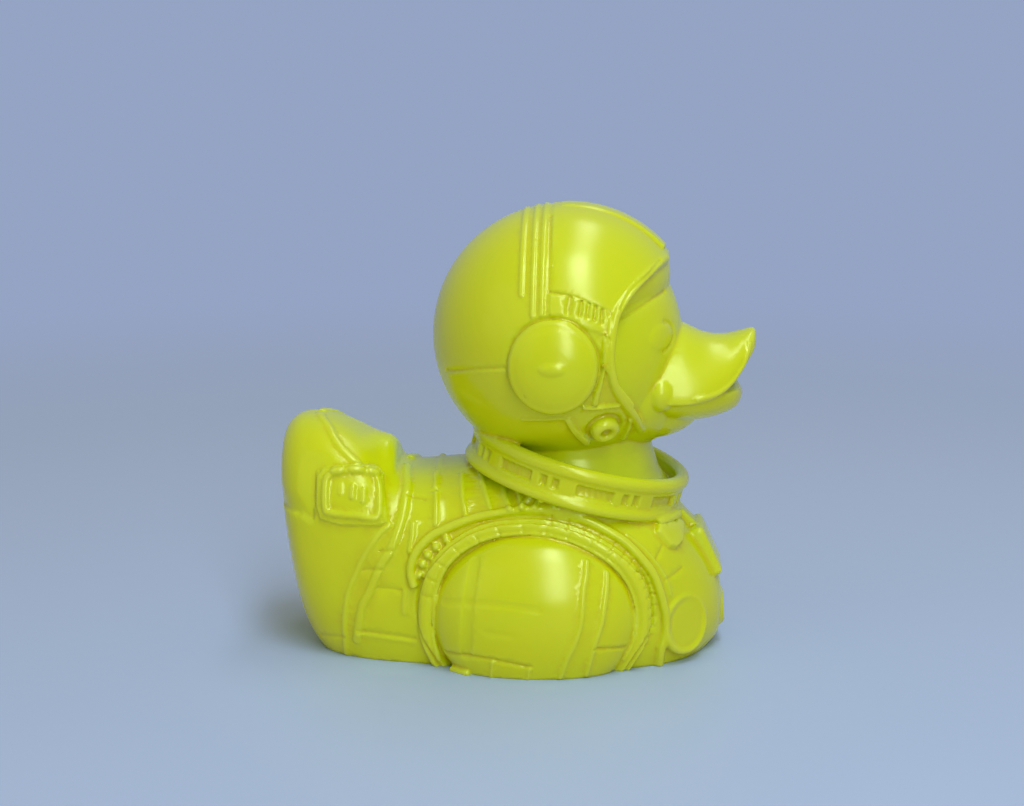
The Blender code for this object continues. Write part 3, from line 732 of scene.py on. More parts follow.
@dataclass(frozen=True)
class Wings(Part):
    """The folded wings: a smooth pad in a sleeve ring, with a ridge and studs round it."""

    pad_centre: Point3 = (7.1, -21.0, 10.6)
    pad_radii: Point3 = (20.1, 9.8, 16.8)
    band_radii: Point2 = (1.75, 1.5)
    band_raised: float = 0.25
    ridge_radii: Point2 = (0.95, 0.95)
    ridge_sunk: float = 0.25
    stud_radii: Point3 = (0.85, 0.95, 0.85)
    stud_sunk: float = 0.1
    inner: Path = (
        (-10.2, -3.0), (-11.4, 1.9), (-12.4, 6.8), (-12.2, 12.5), (-10.9, 18.6), (-8.3, 22.6), (-4.2, 25.4),
        (0.2, 26.8), (5.6, 27.3), (10.5, 26.9), (15.2, 25.6), (19.2, 23.6), (22.5, 21.2), (24.9, 18.0), (26.3, 14.0),
        (26.6, 10.0), (25.9, 6.2), (24.4, 3.0), (21.6, -2.0),
    )
    outer: Path = (
        (-10.4, -2.0), (-13.6, 3.2), (-15.4, 6.6), (-16.0, 10.0), (-15.9, 13.6), (-15.0, 17.6), (-13.2, 21.2),
        (-10.0, 24.8), (-5.6, 27.7), (-0.6, 29.4), (4.9, 30.0), (10.2, 29.8), (15.4, 28.6), (20.4, 26.4), (24.2, 23.8),
        (26.6, 21.4), (28.4, 18.8), (29.5, 15.8), (30.1, 12.2), (29.9, 8.8), (28.8, 6.0), (27.2, 3.6), (24.0, -2.0),
    )
    ridge: Path = (
        (-16.5, 16.2), (-17.3, 19.4), (-16.3, 22.9), (-13.9, 25.7), (-11.2, 27.3), (-5.6, 29.5), (-0.2, 30.7),
        (4.5, 31.3), (9.0, 31.3), (13.8, 30.6), (18.6, 29.0), (23.0, 26.7), (25.4, 24.9), (27.5, 22.7), (29.4, 20.3),
        (30.6, 18.0), (31.5, 15.4), (32.2, 12.6), (32.6, 10.4), (32.7, 8.2), (32.3, 6.0), (31.8, 3.8), (31.3, -2.0),
    )
    studs: Path = ((-15.4, 18.7), (-14.9, 20.9), (-13.9, 22.7), (-12.3, 24.3), (-10.2, 25.8))
    front_seam: Path = ((25.2, 26.7), (28.2, 24.2), (30.9, 20.9), (32.7, 18.0), (33.7, 14.6))
    pad_ribs: tuple[Path, ...] = (
        ((17.3, 23.0), (17.2, 20.6), (16.8, 18.2), (16.6, 15.1), (16.3, 11.8), (15.2, 7.9), (13.7, 4.6), (12.4, 0.6)),
        ((21.2, 20.6), (21.2, 18.4), (20.8, 14.8), (20.2, 11.2), (18.8, 6.7), (17.4, 0.8)),
    )
    pad_folds: tuple[Stroke, ...] = (
        Stroke(((-4.4, 22.6), (-5.0, 18.7), (-5.6, 14.4), (-5.9, 9.5), (-6.0, 4.4)), 1.3, -0.25),
        Stroke(((-10.4, 14.4), (-3.8, 15.3), (2.3, 15.2), (8.2, 14.5)), 0.8, -0.11),
        Stroke(((-2.1, 9.6), (0.6, 9.5), (3.5, 9.3)), 0.7, -0.07),
        Stroke(((-10.4, 3.9), (-6.0, 4.3), (-1.4, 4.2), (2.6, 3.6), (6.6, 2.9)), 0.4, -0.35),
        Stroke(((18.8, 6.4), (22.0, 6.1), (25.0, 5.6)), 0.3, -0.35),
        Stroke(((-0.7, 3.8), (-1.1, 0.2)), 0.4, 0.3, count=6),
        Stroke(((6.5, 2.8), (6.1, 0.2)), 0.4, 0.3, count=6),
    )

    def build(self, forms: Forms, body: Body) -> None:
        """Adds the pads, bands, ridges and studs.

        Args:
            forms: The shells.
            body: The torso's surface.
        """
        forms.keep(ball(self.pad_centre, self.pad_radii, 96, 56), both_sides=True)
        edges = zip(smooth_path(self.inner, 40), smooth_path(self.outer, 40))
        middle = [tuple((a + b) / 2) for a, b in edges]
        band = [Vector((p.x, p.y - self.band_raised, p.z)) for p in body.side(middle, 60)]
        forms.keep(tube(band, self.band_radii, lambda p: Vector((0.0, -1.0, 0.0))), both_sides=True)
        ridge = body.side(self.ridge, 60, self.ridge_sunk)
        forms.keep(tube(ridge, self.ridge_radii, lambda p: Vector((0.0, -1.0, 0.2))), both_sides=True)
        for stud in body.side(self.studs, len(self.studs), self.stud_sunk):
            forms.keep(ball(stud, self.stud_radii, 16, 10), both_sides=True)

    def decorate(self, relief: Relief) -> None:
        """Draws the bead, the groove and the seams.

        Args:
            relief: The surface.
        """
        bead = [(x * 1.02 - 0.14, z * 1.02 - 0.2) for x, z in self.inner[1:-1]]
        relief.draw(
            Stroke(bead, 0.5, 0.4, count=80),
            Stroke(self.outer, 0.5, -0.55, count=80),
            Stroke(self.front_seam, 0.45, 0.22, count=30),
            *(Stroke(path, 0.6, 0.42) for path in self.pad_ribs),
            *self.pad_folds,
            *(self.rung(0.2 + 0.042 * k, (-2.6, -0.6), -0.13) for k in range(11)),
            *(self.rung(0.5 + 0.028 * k, (-0.6, 0.8), -0.16) for k in range(16)),
        )

    def rung(self, t: float, reach: Point2, height: float) -> Stroke:
        """Makes a short line across the band's outer edge, in line with the pad's centre.

        Args:
            t: The place along the edge, from 0 to 1.
            reach: Where the line starts and ends, measured outward from the edge.
            height: How far it stands out, or how deep it is if negative.

        Returns:
            The line.
        """
        x, z = blend_rows(self.outer, t)
        away = math.hypot(x - self.pad_centre[0], z - self.pad_centre[2])
        across = ((x - self.pad_centre[0]) / away, (z - self.pad_centre[2]) / away)
        return Stroke([(x + across[0] * r, z + across[1] * r) for r in reach], 0.28, height, count=6)


@dataclass(frozen=True)
class Face(Part):
    """The face, jaw, chin and neck.

    The face, jaw and chin each hold the centre and the half axes of an ellipsoid.
    """

    face: tuple[Point3, Point3] = ((15.6, 0.0, 61.4), (20.2, 22.0, 24.0))
    jaw: tuple[Point3, Point3] = ((23.6, 0.0, 54.0), (14.0, 16.4, 13.3))
    chin: tuple[Point3, Point3] = ((28.4, 0.0, 50.0), (11.6, 11.5, 7.5))
    neck_profile: Path = (
        (0.0, 46.0), (15.6, 46.0), (16.0, 41.0), (17.4, 36.5), (20.4, 32.0), (20.4, 26.0), (0.0, 26.0),
    )
    neck_x: float = 13.8
    eye_at: Point2 = (31.2, 65.0)
    eye_radii: Point2 = (2.2, 2.45)
    eye_height: float = 0.28
    lid_radii: Point2 = (2.6, 2.9)

    def build(self, forms: Forms, body: Body) -> None:
        """Adds the face, jaw, chin and neck.

        Args:
            forms: The shells.
            body: The torso's surface; not used here.
        """
        for centre, radii in (self.face, self.jaw, self.chin):
            forms.keep(ball(centre, radii))
        forms.keep(turned(self.neck_profile, 96, Matrix.Translation((self.neck_x, 0.0, 0.0))))

    def decorate(self, relief: Relief) -> None:
        """Draws the low oval eye and its lid.

        Args:
            relief: The surface.
        """
        off = (relief.folded[:, (0, 2)] - self.eye_at) / self.eye_radii
        away = np.hypot(off[:, 0], off[:, 1])
        relief.lift += self.eye_height * np.sqrt(np.clip(1.0 - away**2, 0.0, 1.0))
        (x, z), (half_length, half_height) = self.eye_at, self.lid_radii
        turns = [math.radians(-75.0 + 150.0 * k / 16) for k in range(17)]
        lid = [(x + half_length * math.cos(a), z + half_height * math.sin(a)) for a in turns]
        relief.draw(Stroke(lid, 0.5, -0.2))


@dataclass(frozen=True)
class Bill(Part):
    """The upturned bill and its lower half.

    Each upper station holds x, half width, rim z and crown z; each lower one x, half width, lowest z and upper z.
    The corner holds the centre and half axes of the lobe at the corner of the mouth.
    """

    upper: tuple[Row, ...] = (
        (25.0, 0.0, 57.0, 57.0),
        (26.5, 11.5, 53.0, 63.5),
        (30.0, 14.4, 52.2, 66.6),
        (35.0, 14.6, 51.8, 66.0),
        (40.0, 13.7, 52.5, 63.9),
        (44.0, 11.6, 54.2, 63.6),
        (47.4, 8.2, 58.0, 64.4),
        (49.8, 4.4, 61.4, 64.9),
        (50.4, 0.0, 63.4, 63.4),
    )
    lower: tuple[Row, ...] = (
        (25.0, 0.0, 50.0, 50.0),
        (27.0, 11.0, 47.6, 52.4),
        (32.0, 13.6, 46.6, 52.2),
        (38.0, 12.8, 46.6, 52.3),
        (43.0, 10.4, 47.5, 53.0),
        (46.6, 6.6, 49.2, 53.2),
        (47.9, 0.0, 51.6, 51.6),
    )
    bead: Path = ((48.9, 62.6), (48.1, 59.6), (46.8, 57.4), (45.1, 55.5), (42.4, 53.8), (38.4, 52.9))
    corner: tuple[Point3, Point3] = ((31.2, -12.9, 53.6), (2.8, 2.5, 3.4))

    @staticmethod
    def upper_section(station: Sequence[float], angle: float) -> Point2:
        """Gives a point on a dome over a nearly flat underside.

        Args:
            station: The values of the station.
            angle: The point's angle round the section.

        Returns:
            Its y and z.
        """
        _, half_width, rim, crown = station
        rise = math.sin(angle)
        z = rim + (crown - rim) * rise**1.1 if rise > 0 else rim + 0.7 * rise
        return half_width * math.cos(angle), z

    @staticmethod
    def lower_section(station: Sequence[float], angle: float) -> Point2:
        """Gives a point on a shallow tray, flat on top.

        Args:
            station: The values of the station.
            angle: The point's angle round the section.

        Returns:
            Its y and z.
        """
        _, half_width, low, high = station
        rise = math.sin(angle)
        z = high + 0.5 * rise if rise > 0 else high + (high - low) * rise
        return half_width * math.cos(angle), z

    def build(self, forms: Forms, body: Body) -> None:
        """Adds both halves of the bill and the lobes at the corners of the mouth.

        Args:
            forms: The shells.
            body: The torso's surface; not used here.
        """
        forms.keep(loft(self.upper, self.upper_section, 96, 72))
        forms.keep(loft(self.lower, self.lower_section, 96, 64))
        forms.keep(ball(*self.corner, 32, 20), both_sides=True)

    def decorate(self, relief: Relief) -> None:
        """Draws the bead along the upper half's rim."""
        relief.draw(Stroke(self.bead, 0.5, 0.25, count=60))


@dataclass(frozen=True)
class Helmet(Part):
    """The helmet's shell, brow band, rim, visor cover, centre strip, rails and crown bands.

    Each slot holds x, z and half its width; each band x, the z of its lower end and half its width. The brow holds
    the centre and half axes of an ellipsoid; the cover and strip a shift from the helmet's centre and a radius.
    """

    rim: Path = (
        (33.0, 79.4), (30.6, 79.0), (27.2, 76.8), (24.4, 73.9), (22.4, 70.6), (21.7, 66.5), (21.5, 62.0),
        (22.3, 57.6), (24.0, 54.0), (26.0, 50.4), (27.4, 46.5), (27.6, 43.6),
    )
    rail_top: Path = ((9.9, 75.2), (14.8, 74.3), (19.4, 72.4), (21.6, 71.3))
    rail_foot: Path = ((21.6, 66.9), (17.6, 68.3), (11.9, 70.4), (9.9, 71.0))
    slots: tuple[Point3, ...] = (
        (13.6, 72.8, 0.85), (15.8, 72.4, 0.45), (17.2, 72.0, 0.45), (18.5, 71.4, 0.45), (19.8, 70.8, 0.4),
    )
    bands: tuple[Point3, ...] = ((4.4, 74.6, 0.6), (6.6, 70.8, 0.5), (8.4, 71.0, 0.55))
    brow_creases: tuple[Path, ...] = (
        ((23.2, 69.5), (25.1, 70.5), (27.4, 71.5), (29.8, 72.5), (31.8, 73.2)),
        ((23.5, 72.1), (24.8, 74.5), (26.4, 76.2), (28.7, 77.7), (31.0, 79.7)),
    )
    cover_seam: Stroke = Stroke(((9.5, 88.0), (9.7, 84.0), (9.8, 79.0), (9.8, 75.6)), 0.4, -0.18, count=20)
    ear_seams: tuple[Stroke, ...] = (
        Stroke(((-10.6, 57.8), (-5.0, 59.6), (1.2, 60.7)), 0.4, -0.22, count=20),
        Stroke(((-10.6, 57.1), (-5.0, 58.9), (1.2, 60.0)), 0.45, 0.08, count=20),
    )
    nape_seam: Stroke = Stroke(((4.6, 50.1), (8.8, 50.4), (12.8, 50.7)), 0.4, 0.3, count=20)
    brow: tuple[Point3, Point3] = ((10.7, 0.0, 75.6), (22.4, 23.4, 14.0))
    cover: tuple[Point3, float] = ((0.6, 0.0, 0.1), 26.15)
    strip: tuple[Point3, float] = ((1.2, 0.0, 0.1), 26.35)
    strip_half_width: float = 3.4
    strip_outline: Path = ((11.6, 80.0), (30.0, 80.0), (31.6, 81.4), (FAR, 90.0), (FAR, 95.0), (11.6, 95.0))
    rim_top: Point3 = (31.8, 0.0, 79.1)
    rim_radii: Point2 = (1.0, 1.0)

    def build(self, forms: Forms, body: Body) -> None:
        """Adds the shell with its opening, the brow band, the visor cover, its strip and the rim.

        Args:
            forms: The shells.
            body: The torso's surface; not used here.
        """
        opening = prism([(FAR, 79.4), *self.rim, (27.6, 30.0), (FAR, 30.0)])
        forms.keep(carved(self.sphere((0.0, 0.0, 0.0), HELMET_RADIUS), opening, "DIFFERENCE"))
        behind = [(x - 0.9, z + 0.3) for x, z in self.rim if z > 70.0]
        outline = [(40.0, 73.2), (31.2, 73.2), (27.6, 72.0), (22.2, 69.0), *behind[::-1], (40.0, 79.7)]
        forms.keep(carved(ball(*self.brow), prism(outline), "INTERSECT"))
        forms.keep(carved(self.sphere(*self.cover), prism(self.cover_outline), "INTERSECT"))
        strip = prism(self.strip_outline, self.strip_half_width)
        forms.keep(carved(self.sphere(*self.strip), strip, "INTERSECT"))
        side = [on_helmet(x, z) for x, z in smooth_path(self.rim, 40)]
        right = [Vector(self.rim_top), *(p for p in side if p.y < -1.5)]
        path = mirrored(right[1:])[::-1] + right
        forms.keep(tube(path, self.rim_radii, lambda p: p - HEAD_CENTRE))

    @staticmethod
    def sphere(shift: Sequence[float], radius: float) -> bmesh.types.BMesh:
        """Returns a sphere near the helmet's centre."""
        return ball(HEAD_CENTRE + Vector(shift), (radius,) * 3, 128, 80)

    @property
    def cover_outline(self) -> list[Point2]:
        """The visor cover's outline in side view."""
        above = [(x - 0.4, z + 0.2) for x, z in self.rim if z > 71.0]
        return [*self.rail_top, *above[::-1], (45.0, 86.0), (45.0, 95.0), (9.9, 95.0)]

    def on_shell(self, points: np.ndarray) -> np.ndarray:
        """Says which points lie on the helmet's sphere."""
        away = np.linalg.norm(points - np.array(HEAD_CENTRE), axis=1)
        return np.abs(away - HELMET_RADIUS) < 1.4

    def decorate(self, relief: Relief) -> None:
        """Draws the edge of the cover, the rails with their slots, the bands and the seams.

        Args:
            relief: The surface.
        """
        relief.panel([*self.rail_top, *self.rail_foot], 0.3, 0.5, self.on_shell)
        relief.draw_on_helmet(Stroke(self.rail_top, 0.4, -0.35, count=20), self.cover_seam)
        for x, z, half_width in self.slots:
            relief.draw(Stroke(((x - 0.1, z - 1.2), (x + 0.1, z + 1.1)), half_width, -0.5, Section.FLAT, 6))
        for x, end_z, half_width in self.bands:
            size = math.sqrt(HELMET_RADIUS**2 - (x - HEAD_CENTRE.x) ** 2)
            lowest = math.asin((end_z - HEAD_CENTRE.z) / size)
            turns = [lowest + (math.pi / 2 - lowest) * k / 30 for k in range(31)]
            path = [Vector((x, -size * math.cos(a), HEAD_CENTRE.z + size * math.sin(a))) for a in turns]
            relief.line(path, half_width, 0.3)
        relief.draw_on_helmet(*self.ear_seams)
        relief.draw(*(Stroke(crease, 0.4, -0.28, count=20) for crease in self.brow_creases))
        relief.draw_on_helmet(self.nape_seam)


@dataclass(frozen=True)
class EarSets(Part):
    """The ear cups, and the forked straps and valves in front of them.

    Each groove holds its two radii, half its width and its height; each strap its path and half its width.
    """

    cup_at: Point2 = (10.6, 61.2)
    valve_at: Point2 = (20.4, 48.1)
    cup_profile: Path = (
        (0.0, 3.0), (1.8, 2.95), (3.6, 2.7), (5.0, 2.35), (6.2, 1.9), (7.0, 1.5), (7.3, 1.2), (7.8, 1.1), (8.2, 0.75),
        (8.45, 0.2), (8.6, -0.4), (8.6, -4.0), (0.0, -4.0),
    )
    valve_profile: Path = (
        (0.0, 0.4), (0.9, 0.5), (1.1, 1.5), (1.7, 1.8), (2.4, 1.6), (2.8, 0.9), (2.9, -3.0), (0.0, -3.0),
    )
    cup_stretch: Point2 = (1.02, 1.08)
    cup_lean: float = 0.10
    boss_height: float = 2.85
    boss_radii: Point3 = (2.6, 1.3, 0.6)
    cup_groove: Row = (9.2, 9.2 * 1.07, 0.55, -0.45)
    valve_groove: Row = (3.4, 3.4, 0.5, -0.5)
    straps: tuple[tuple[Path, float], ...] = (
        (((20.6, 67.0), (20.5, 64.5), (20.5, 62.2)), 0.8),
        (((20.2, 61.6), (19.5, 58.1), (18.6, 53.9)), 0.75),
        (((20.9, 61.6), (22.4, 57.7), (25.4, 52.4)), 0.75),
        (((16.4, 53.2), (18.2, 52.9), (23.2, 53.2)), 0.45),
        (((13.6, 50.2), (14.8, 47.8), (16.9, 45.0)), 0.85),
        (((25.4, 50.0), (25.0, 47.8), (24.0, 45.2)), 0.7),
    )

    def build(self, forms: Forms, body: Body) -> None:
        """Adds the cups, bosses and valves.

        Args:
            forms: The shells.
            body: The torso's surface; not used here.
        """
        cup = on_helmet(*self.cup_at)
        outward = (cup - HEAD_CENTRE).normalized() + Vector((0.0, 0.0, self.cup_lean))
        outward.normalize()
        place = frame_at(cup, outward) @ Matrix.Diagonal((*self.cup_stretch, 1.0, 1.0))
        forms.keep(turned(self.cup_profile, 96, place), both_sides=True)
        boss = bmesh.new()
        low = frame_at(cup + outward * self.boss_height, outward) @ Matrix.Diagonal((*self.boss_radii, 1.0))
        bmesh.ops.create_uvsphere(boss, u_segments=40, v_segments=24, radius=1.0, matrix=low)
        forms.keep(boss, both_sides=True)
        valve = on_helmet(*self.valve_at)
        forms.keep(turned(self.valve_profile, 64, frame_at(valve, valve - HEAD_CENTRE)), both_sides=True)

    def decorate(self, relief: Relief) -> None:
        """Draws the straps, the groove round each cup and the recess round each valve.

        Args:
            relief: The surface.
        """
        for path, half_width in self.straps:
            relief.draw_on_helmet(Stroke(path, half_width, 0.65, Section.FLAT, 14))
        turns = [2 * math.pi * k / 48 for k in range(49)]
        for middle, groove in ((self.cup_at, self.cup_groove), (self.valve_at, self.valve_groove)):
            across, along, half_width, height = groove
            centre = on_helmet(*middle)
            place = frame_at(centre, centre - HEAD_CENTRE)
            ring = [place @ Vector((across * math.cos(a), along * math.sin(a), 0.0)) for a in turns]
            ring = [HEAD_CENTRE + (p - HEAD_CENTRE).normalized() * HELMET_RADIUS for p in ring]
            relief.line(ring, half_width, height)


@dataclass(frozen=True)
class NeckRing(Part):
    """The tilted neck ring: two flanges and a recessed wall with bars and windows.

    Each window holds the angle of its middle and its half width, in degrees; they repeat round the ring.
    """

    centre: Point3 = (14.8, 0.0, 36.6)
    tilt: float = math.radians(14.7)
    radius: float = 22.6
    wall_inset: float = 0.6
    repeats: int = 8
    first_window: float = 11.0
    windows: tuple[Point2, ...] = ((0.0, 10.5), (17.0, 2.2), (23.5, 2.2))
    window_half_height: float = 1.2
    window_middle: float = -0.2
    window_depth: float = 0.7
    window_edge: float = 0.35

    @property
    def place(self) -> Matrix:
        """The ring's placement."""
        return Matrix.Translation(self.centre) @ Matrix.Rotation(self.tilt, 4, "Y")

    def build(self, forms: Forms, body: Body) -> None:
        """Adds the ring.

        Args:
            forms: The shells.
            body: The torso's surface; not used here.
        """
        r = self.radius
        profile = [
            (r - 1.9, 4.3), (r - 1.1, 4.3), (r - 0.4, 3.9), (r, 3.1), (r - 0.1, 2.1), (r - 0.6, 1.5), (r - 0.7, -1.9),
            (r - 0.2, -2.3), (r + 0.1, -3.0), (r, -3.8), (r - 0.7, -4.3), (r - 3.0, -4.3), (r - 3.0, 3.2),
            (r - 2.6, 3.9),
        ]
        forms.keep(turned(profile, 160, self.place))

    def decorate(self, relief: Relief) -> None:
        """Sinks the windows into the wall.

        Args:
            relief: The surface.
        """
        turn = np.array(self.place.inverted())
        local = relief.places @ turn[:3, :3].T + turn[:3, 3]
        reach = np.hypot(local[:, 0], local[:, 1])
        high = np.abs(local[:, 2] - self.window_middle)
        wall = np.flatnonzero((np.abs(reach - self.radius + self.wall_inset) < 0.9) & (high < 2.2))
        degrees = np.degrees(np.arctan2(local[wall, 1], local[wall, 0]))
        for k in range(self.repeats):
            for middle, half_angle in self.windows:
                off = (degrees - 360.0 / self.repeats * k - middle - self.first_window + 180.0) % 360.0 - 180.0
                across = (half_angle - np.abs(off)) * math.radians(1.0) * self.radius
                inside = np.minimum(across, self.window_half_height - high[wall])
                relief.lift[wall] -= self.window_depth * soft_step(inside / self.window_edge)


@dataclass(frozen=True)
class TailKit(Part):
    """The cap, badges and straps on the tail."""

    cap: Path = (
        (-60.0, 29.7), (-42.2, 29.5), (-36.9, 28.6), (-36.6, 33.5), (-36.6, 37.9), (-33.0, 39.6), (-28.9, 39.8),
        (-31.5, 41.9), (-33.4, 43.6), (-34.8, 45.4), (-36.8, 46.7), (-37.6, 55.0), (-60.0, 55.0),
    )
    cap_ridge: Path = (
        (-39.1, 47.4), (-36.8, 46.5), (-34.8, 45.2), (-33.4, 43.5), (-31.5, 41.7), (-29.6, 40.2), (-28.5, 39.4),
    )
    plate: Path = (
        (-36.2, 36.8), (-35.2, 38.2), (-31.8, 39.1), (-28.5, 39.2), (-25.4, 38.4), (-23.6, 36.8), (-22.7, 32.8),
        (-21.9, 28.6), (-23.4, 28.0), (-31.7, 27.9), (-35.4, 28.8), (-36.2, 31.2),
    )
    border: Path = (
        (-34.4, 35.9), (-34.3, 31.2), (-33.1, 30.1), (-28.1, 29.8), (-24.2, 29.5), (-23.8, 32.4), (-24.4, 35.5),
        (-25.6, 37.1), (-28.7, 37.9), (-32.1, 37.8), (-33.8, 37.1), (-34.4, 35.9),
    )
    cap_edge: Path = ((-44.0, 29.8), (-40.6, 29.2), (-37.2, 28.65), (-36.8, 30.2), (-36.7, 33.5), (-36.6, 38.2))
    dashes: tuple[Stroke, ...] = (
        Stroke(((-29.0, 35.1), (-29.0, 33.3)), 0.65, 0.4, count=4),
        Stroke(((-26.9, 34.4), (-26.9, 32.5)), 0.65, 0.4, count=4),
        Stroke(((-31.4, 35.4), (-31.4, 34.0)), 0.65, 0.15, count=4),
        Stroke(((-32.5, 38.0), (-31.7, 37.9)), 1.1, 0.5, count=3),
        Stroke(((-29.1, 38.2), (-28.3, 38.1)), 1.2, 0.5, count=3),
        Stroke(((-25.7, 37.4), (-24.9, 37.3)), 1.2, 0.5, count=3),
    )
    straps: tuple[Stroke, ...] = (
        Stroke((
            (-19.4, 36.6), (-18.6, 34.5), (-18.8, 32.2), (-19.3, 29.2), (-20.6, 25.3), (-21.6, 22.9), (-23.0, 20.8),
            (-24.4, 17.6), (-25.8, 14.3), (-27.3, 11.0), (-28.5, 4.2),
        ), 0.95, 0.55, count=60),
        Stroke((
            (-21.7, 28.0), (-23.4, 26.7), (-25.1, 24.3), (-26.9, 21.4), (-28.3, 18.2), (-29.7, 15.0), (-30.5, 11.4),
            (-30.9, 7.7), (-31.0, 0.6),
        ), 0.65, 0.38, count=60),
    )

    def decorate(self, relief: Relief) -> None:
        """Draws the cap, badges and straps.

        Args:
            relief: The surface.
        """
        cap = np.array(self.cap)

        def flank(points: np.ndarray) -> np.ndarray:
            """Says which points lie on the side of the tail."""
            return points[:, 1] < -9.0

        def on_cap(points: np.ndarray) -> np.ndarray:
            """Says which points lie on the cap."""
            return inside_outline(points[:, (0, 2)], cap)

        relief.panel(self.plate, 0.6, 0.5, flank)
        relief.line(relief.side(self.cap_edge, 40), 4.0, -0.5, Section.SHARP, on_cap)
        ridge, border = Stroke(self.cap_ridge, 0.9, 0.4, count=30), Stroke(self.border, 0.75, 0.55, count=60)
        relief.draw(ridge, border, *self.dashes, *self.straps)


@dataclass(frozen=True)
class ChestKit(Part):
    """The control box, harness tabs and discs on the chest.

    Each block holds its size, the width of its rounded edges, its middle and the direction it faces.
    """

    disc_at: Point3 = (36.4, -15.6, 8.0)
    disc_axis: Point3 = (0.72, -0.69, 0.08)
    disc_profile: Path = (
        (0.0, 0.25), (3.6, 0.3), (4.6, 0.2), (5.0, 0.45), (5.5, 0.6), (5.9, 0.5), (6.2, 0.0), (6.2, -4.0), (0.0, -4.0),
    )
    tab: Path = (
        (30.6, 26.5), (33.1, 23.5), (34.4, 22.9), (35.6, 23.5), (36.0, 26.4), (35.6, 28.9), (31.0, 28.9),
    )
    tab_height: float = 1.1
    knob: tuple[Point3, Point3] = ((43.6, 0.0, 7.4), (1.0, 0.0, 0.06))
    knob_profile: Path = (
        (0.0, 1.0), (2.4, 1.0), (2.8, 1.3), (3.5, 1.1), (3.9, 0.5), (3.9, -4.0), (0.0, -4.0),
    )
    blocks: tuple[tuple[Point3, float, Point3, Point3], ...] = (
        ((10.8, 12.6, 5.2), 1.0, (39.9, 0.0, 19.5), (0.91, 0.0, 0.42)),
        ((4.6, 5.4, 2.4), 0.7, (36.6, 0.0, 25.9), (0.70, 0.0, 0.71)),
    )

    def build(self, forms: Forms, body: Body) -> None:
        """Adds the box, clip and discs.

        Args:
            forms: The shells.
            body: The torso's surface.
        """
        for size, bevel, middle, facing in self.blocks:
            forms.keep(block(size, bevel, frame_at(middle, facing, math.pi / 2)))
        axis = Vector(self.disc_axis).normalized()
        point, _ = body.touch(Vector(self.disc_at) + axis * FAR, -axis)
        forms.keep(turned(self.disc_profile, 72, frame_at(point, axis)), both_sides=True)
        forms.keep(turned(self.knob_profile, 56, frame_at(*self.knob)))

    def decorate(self, relief: Relief) -> None:
        """Raises the harness tabs."""
        relief.panel(self.tab, self.tab_height, 0.6, lambda p: (p[:, 1] < -7.0) & (p[:, 1] > -24.0))


class Sock:
    """A shader socket that takes part in sums and products."""

    def __init__(self, tree: bpy.types.NodeTree, socket: bpy.types.NodeSocket) -> None:
        """Wraps a socket of the tree."""
        self.tree = tree
        self.socket = socket

    def _math(self, operation: str, first: "Sock | float", second: "Sock | float") -> "Sock":
        """Returns the result of a new Math node."""
        return NodeBench(self.tree).sock("ShaderNodeMath", {"operation": operation}, {0: first, 1: second})

    def __add__(self, other: "Sock | float") -> "Sock":
        """Adds."""
        return self._math("ADD", self, other)

    def __radd__(self, other: float) -> "Sock":
        """Adds."""
        return self._math("ADD", other, self)

    def __sub__(self, other: "Sock | float") -> "Sock":
        """Subtracts."""
        return self._math("SUBTRACT", self, other)

    def __rsub__(self, other: float) -> "Sock":
        """Subtracts from a number."""
        return self._math("SUBTRACT", other, self)

    def __mul__(self, other: "Sock | float") -> "Sock":
        """Multiplies."""
        return self._math("MULTIPLY", self, other)


class NodeBench:
    """Adds nodes to the tree of a material or of the world."""

    def __init__(self, tree: bpy.types.NodeTree) -> None:
        """Takes up a tree, with the nodes that it has."""
        self.tree = tree

    @classmethod
    def emptied(cls, data: bpy.types.Material | bpy.types.World) -> "NodeBench":
        """Clears the nodes of a material or world.

        Args:
            data: The material or world.

        Returns:
            A bench for its tree.
        """
        data.use_nodes = True
        data.node_tree.nodes.clear()
        return cls(data.node_tree)

    def add(self, kind: str, settings: dict[str, object], inputs: dict[str | int, object]) -> bpy.types.Node:
        """Adds a node.

        Args:
            kind: The node's type.
            settings: Its properties, set before its sockets.
            inputs: Values or sockets for its inputs, by name or number.

        Returns:
            The node.
        """
        node = self.tree.nodes.new(kind)
        for name, value in settings.items():
            setattr(node, name, value)
        for key, value in inputs.items():
            if isinstance(value, Sock):
                self.tree.links.new(value.socket, node.inputs[key])
            else:
                node.inputs[key].default_value = value
        return node

    def sock(
        self,
        kind: str,
        settings: dict[str, object] | None = None,
        inputs: dict[str | int, object] | None = None,
        output: str | int = 0,
    ) -> Sock:
        """Adds a node for one of its outputs.

        Args:
            kind: The node's type.
            settings: Its properties.
            inputs: Values or sockets for its inputs, by name or number.
            output: The output's name or number.

        Returns:
            The output, ready for sums.
        """
        return Sock(self.tree, self.add(kind, settings or {}, inputs or {}).outputs[output])

    def blend(self, amount: Sock, first: object, second: object) -> Sock:
        """Mixes two colours.

        Args:
            amount: How much of the second there is.
            first: A colour or a socket.
            second: A colour or a socket.

        Returns:
            The mixed colour.
        """
        settings = {"data_type": "RGBA", "clamp_factor": True}
        return self.sock("ShaderNodeMix", settings, {0: amount, 6: first, 7: second}, 2)

    def seen(self) -> Sock:
        """Tells what the camera sees from the light that is thrown on things.

        Returns:
            1 for what it sees, also in gloss and through glass, and 0 for the rest.
        """
        ray = self.add("ShaderNodeLightPath", {}, {})
        kinds = ("Camera", "Glossy", "Transmission")
        return sum((Sock(self.tree, ray.outputs[f"Is {kind} Ray"]) for kind in kinds), 0.0)


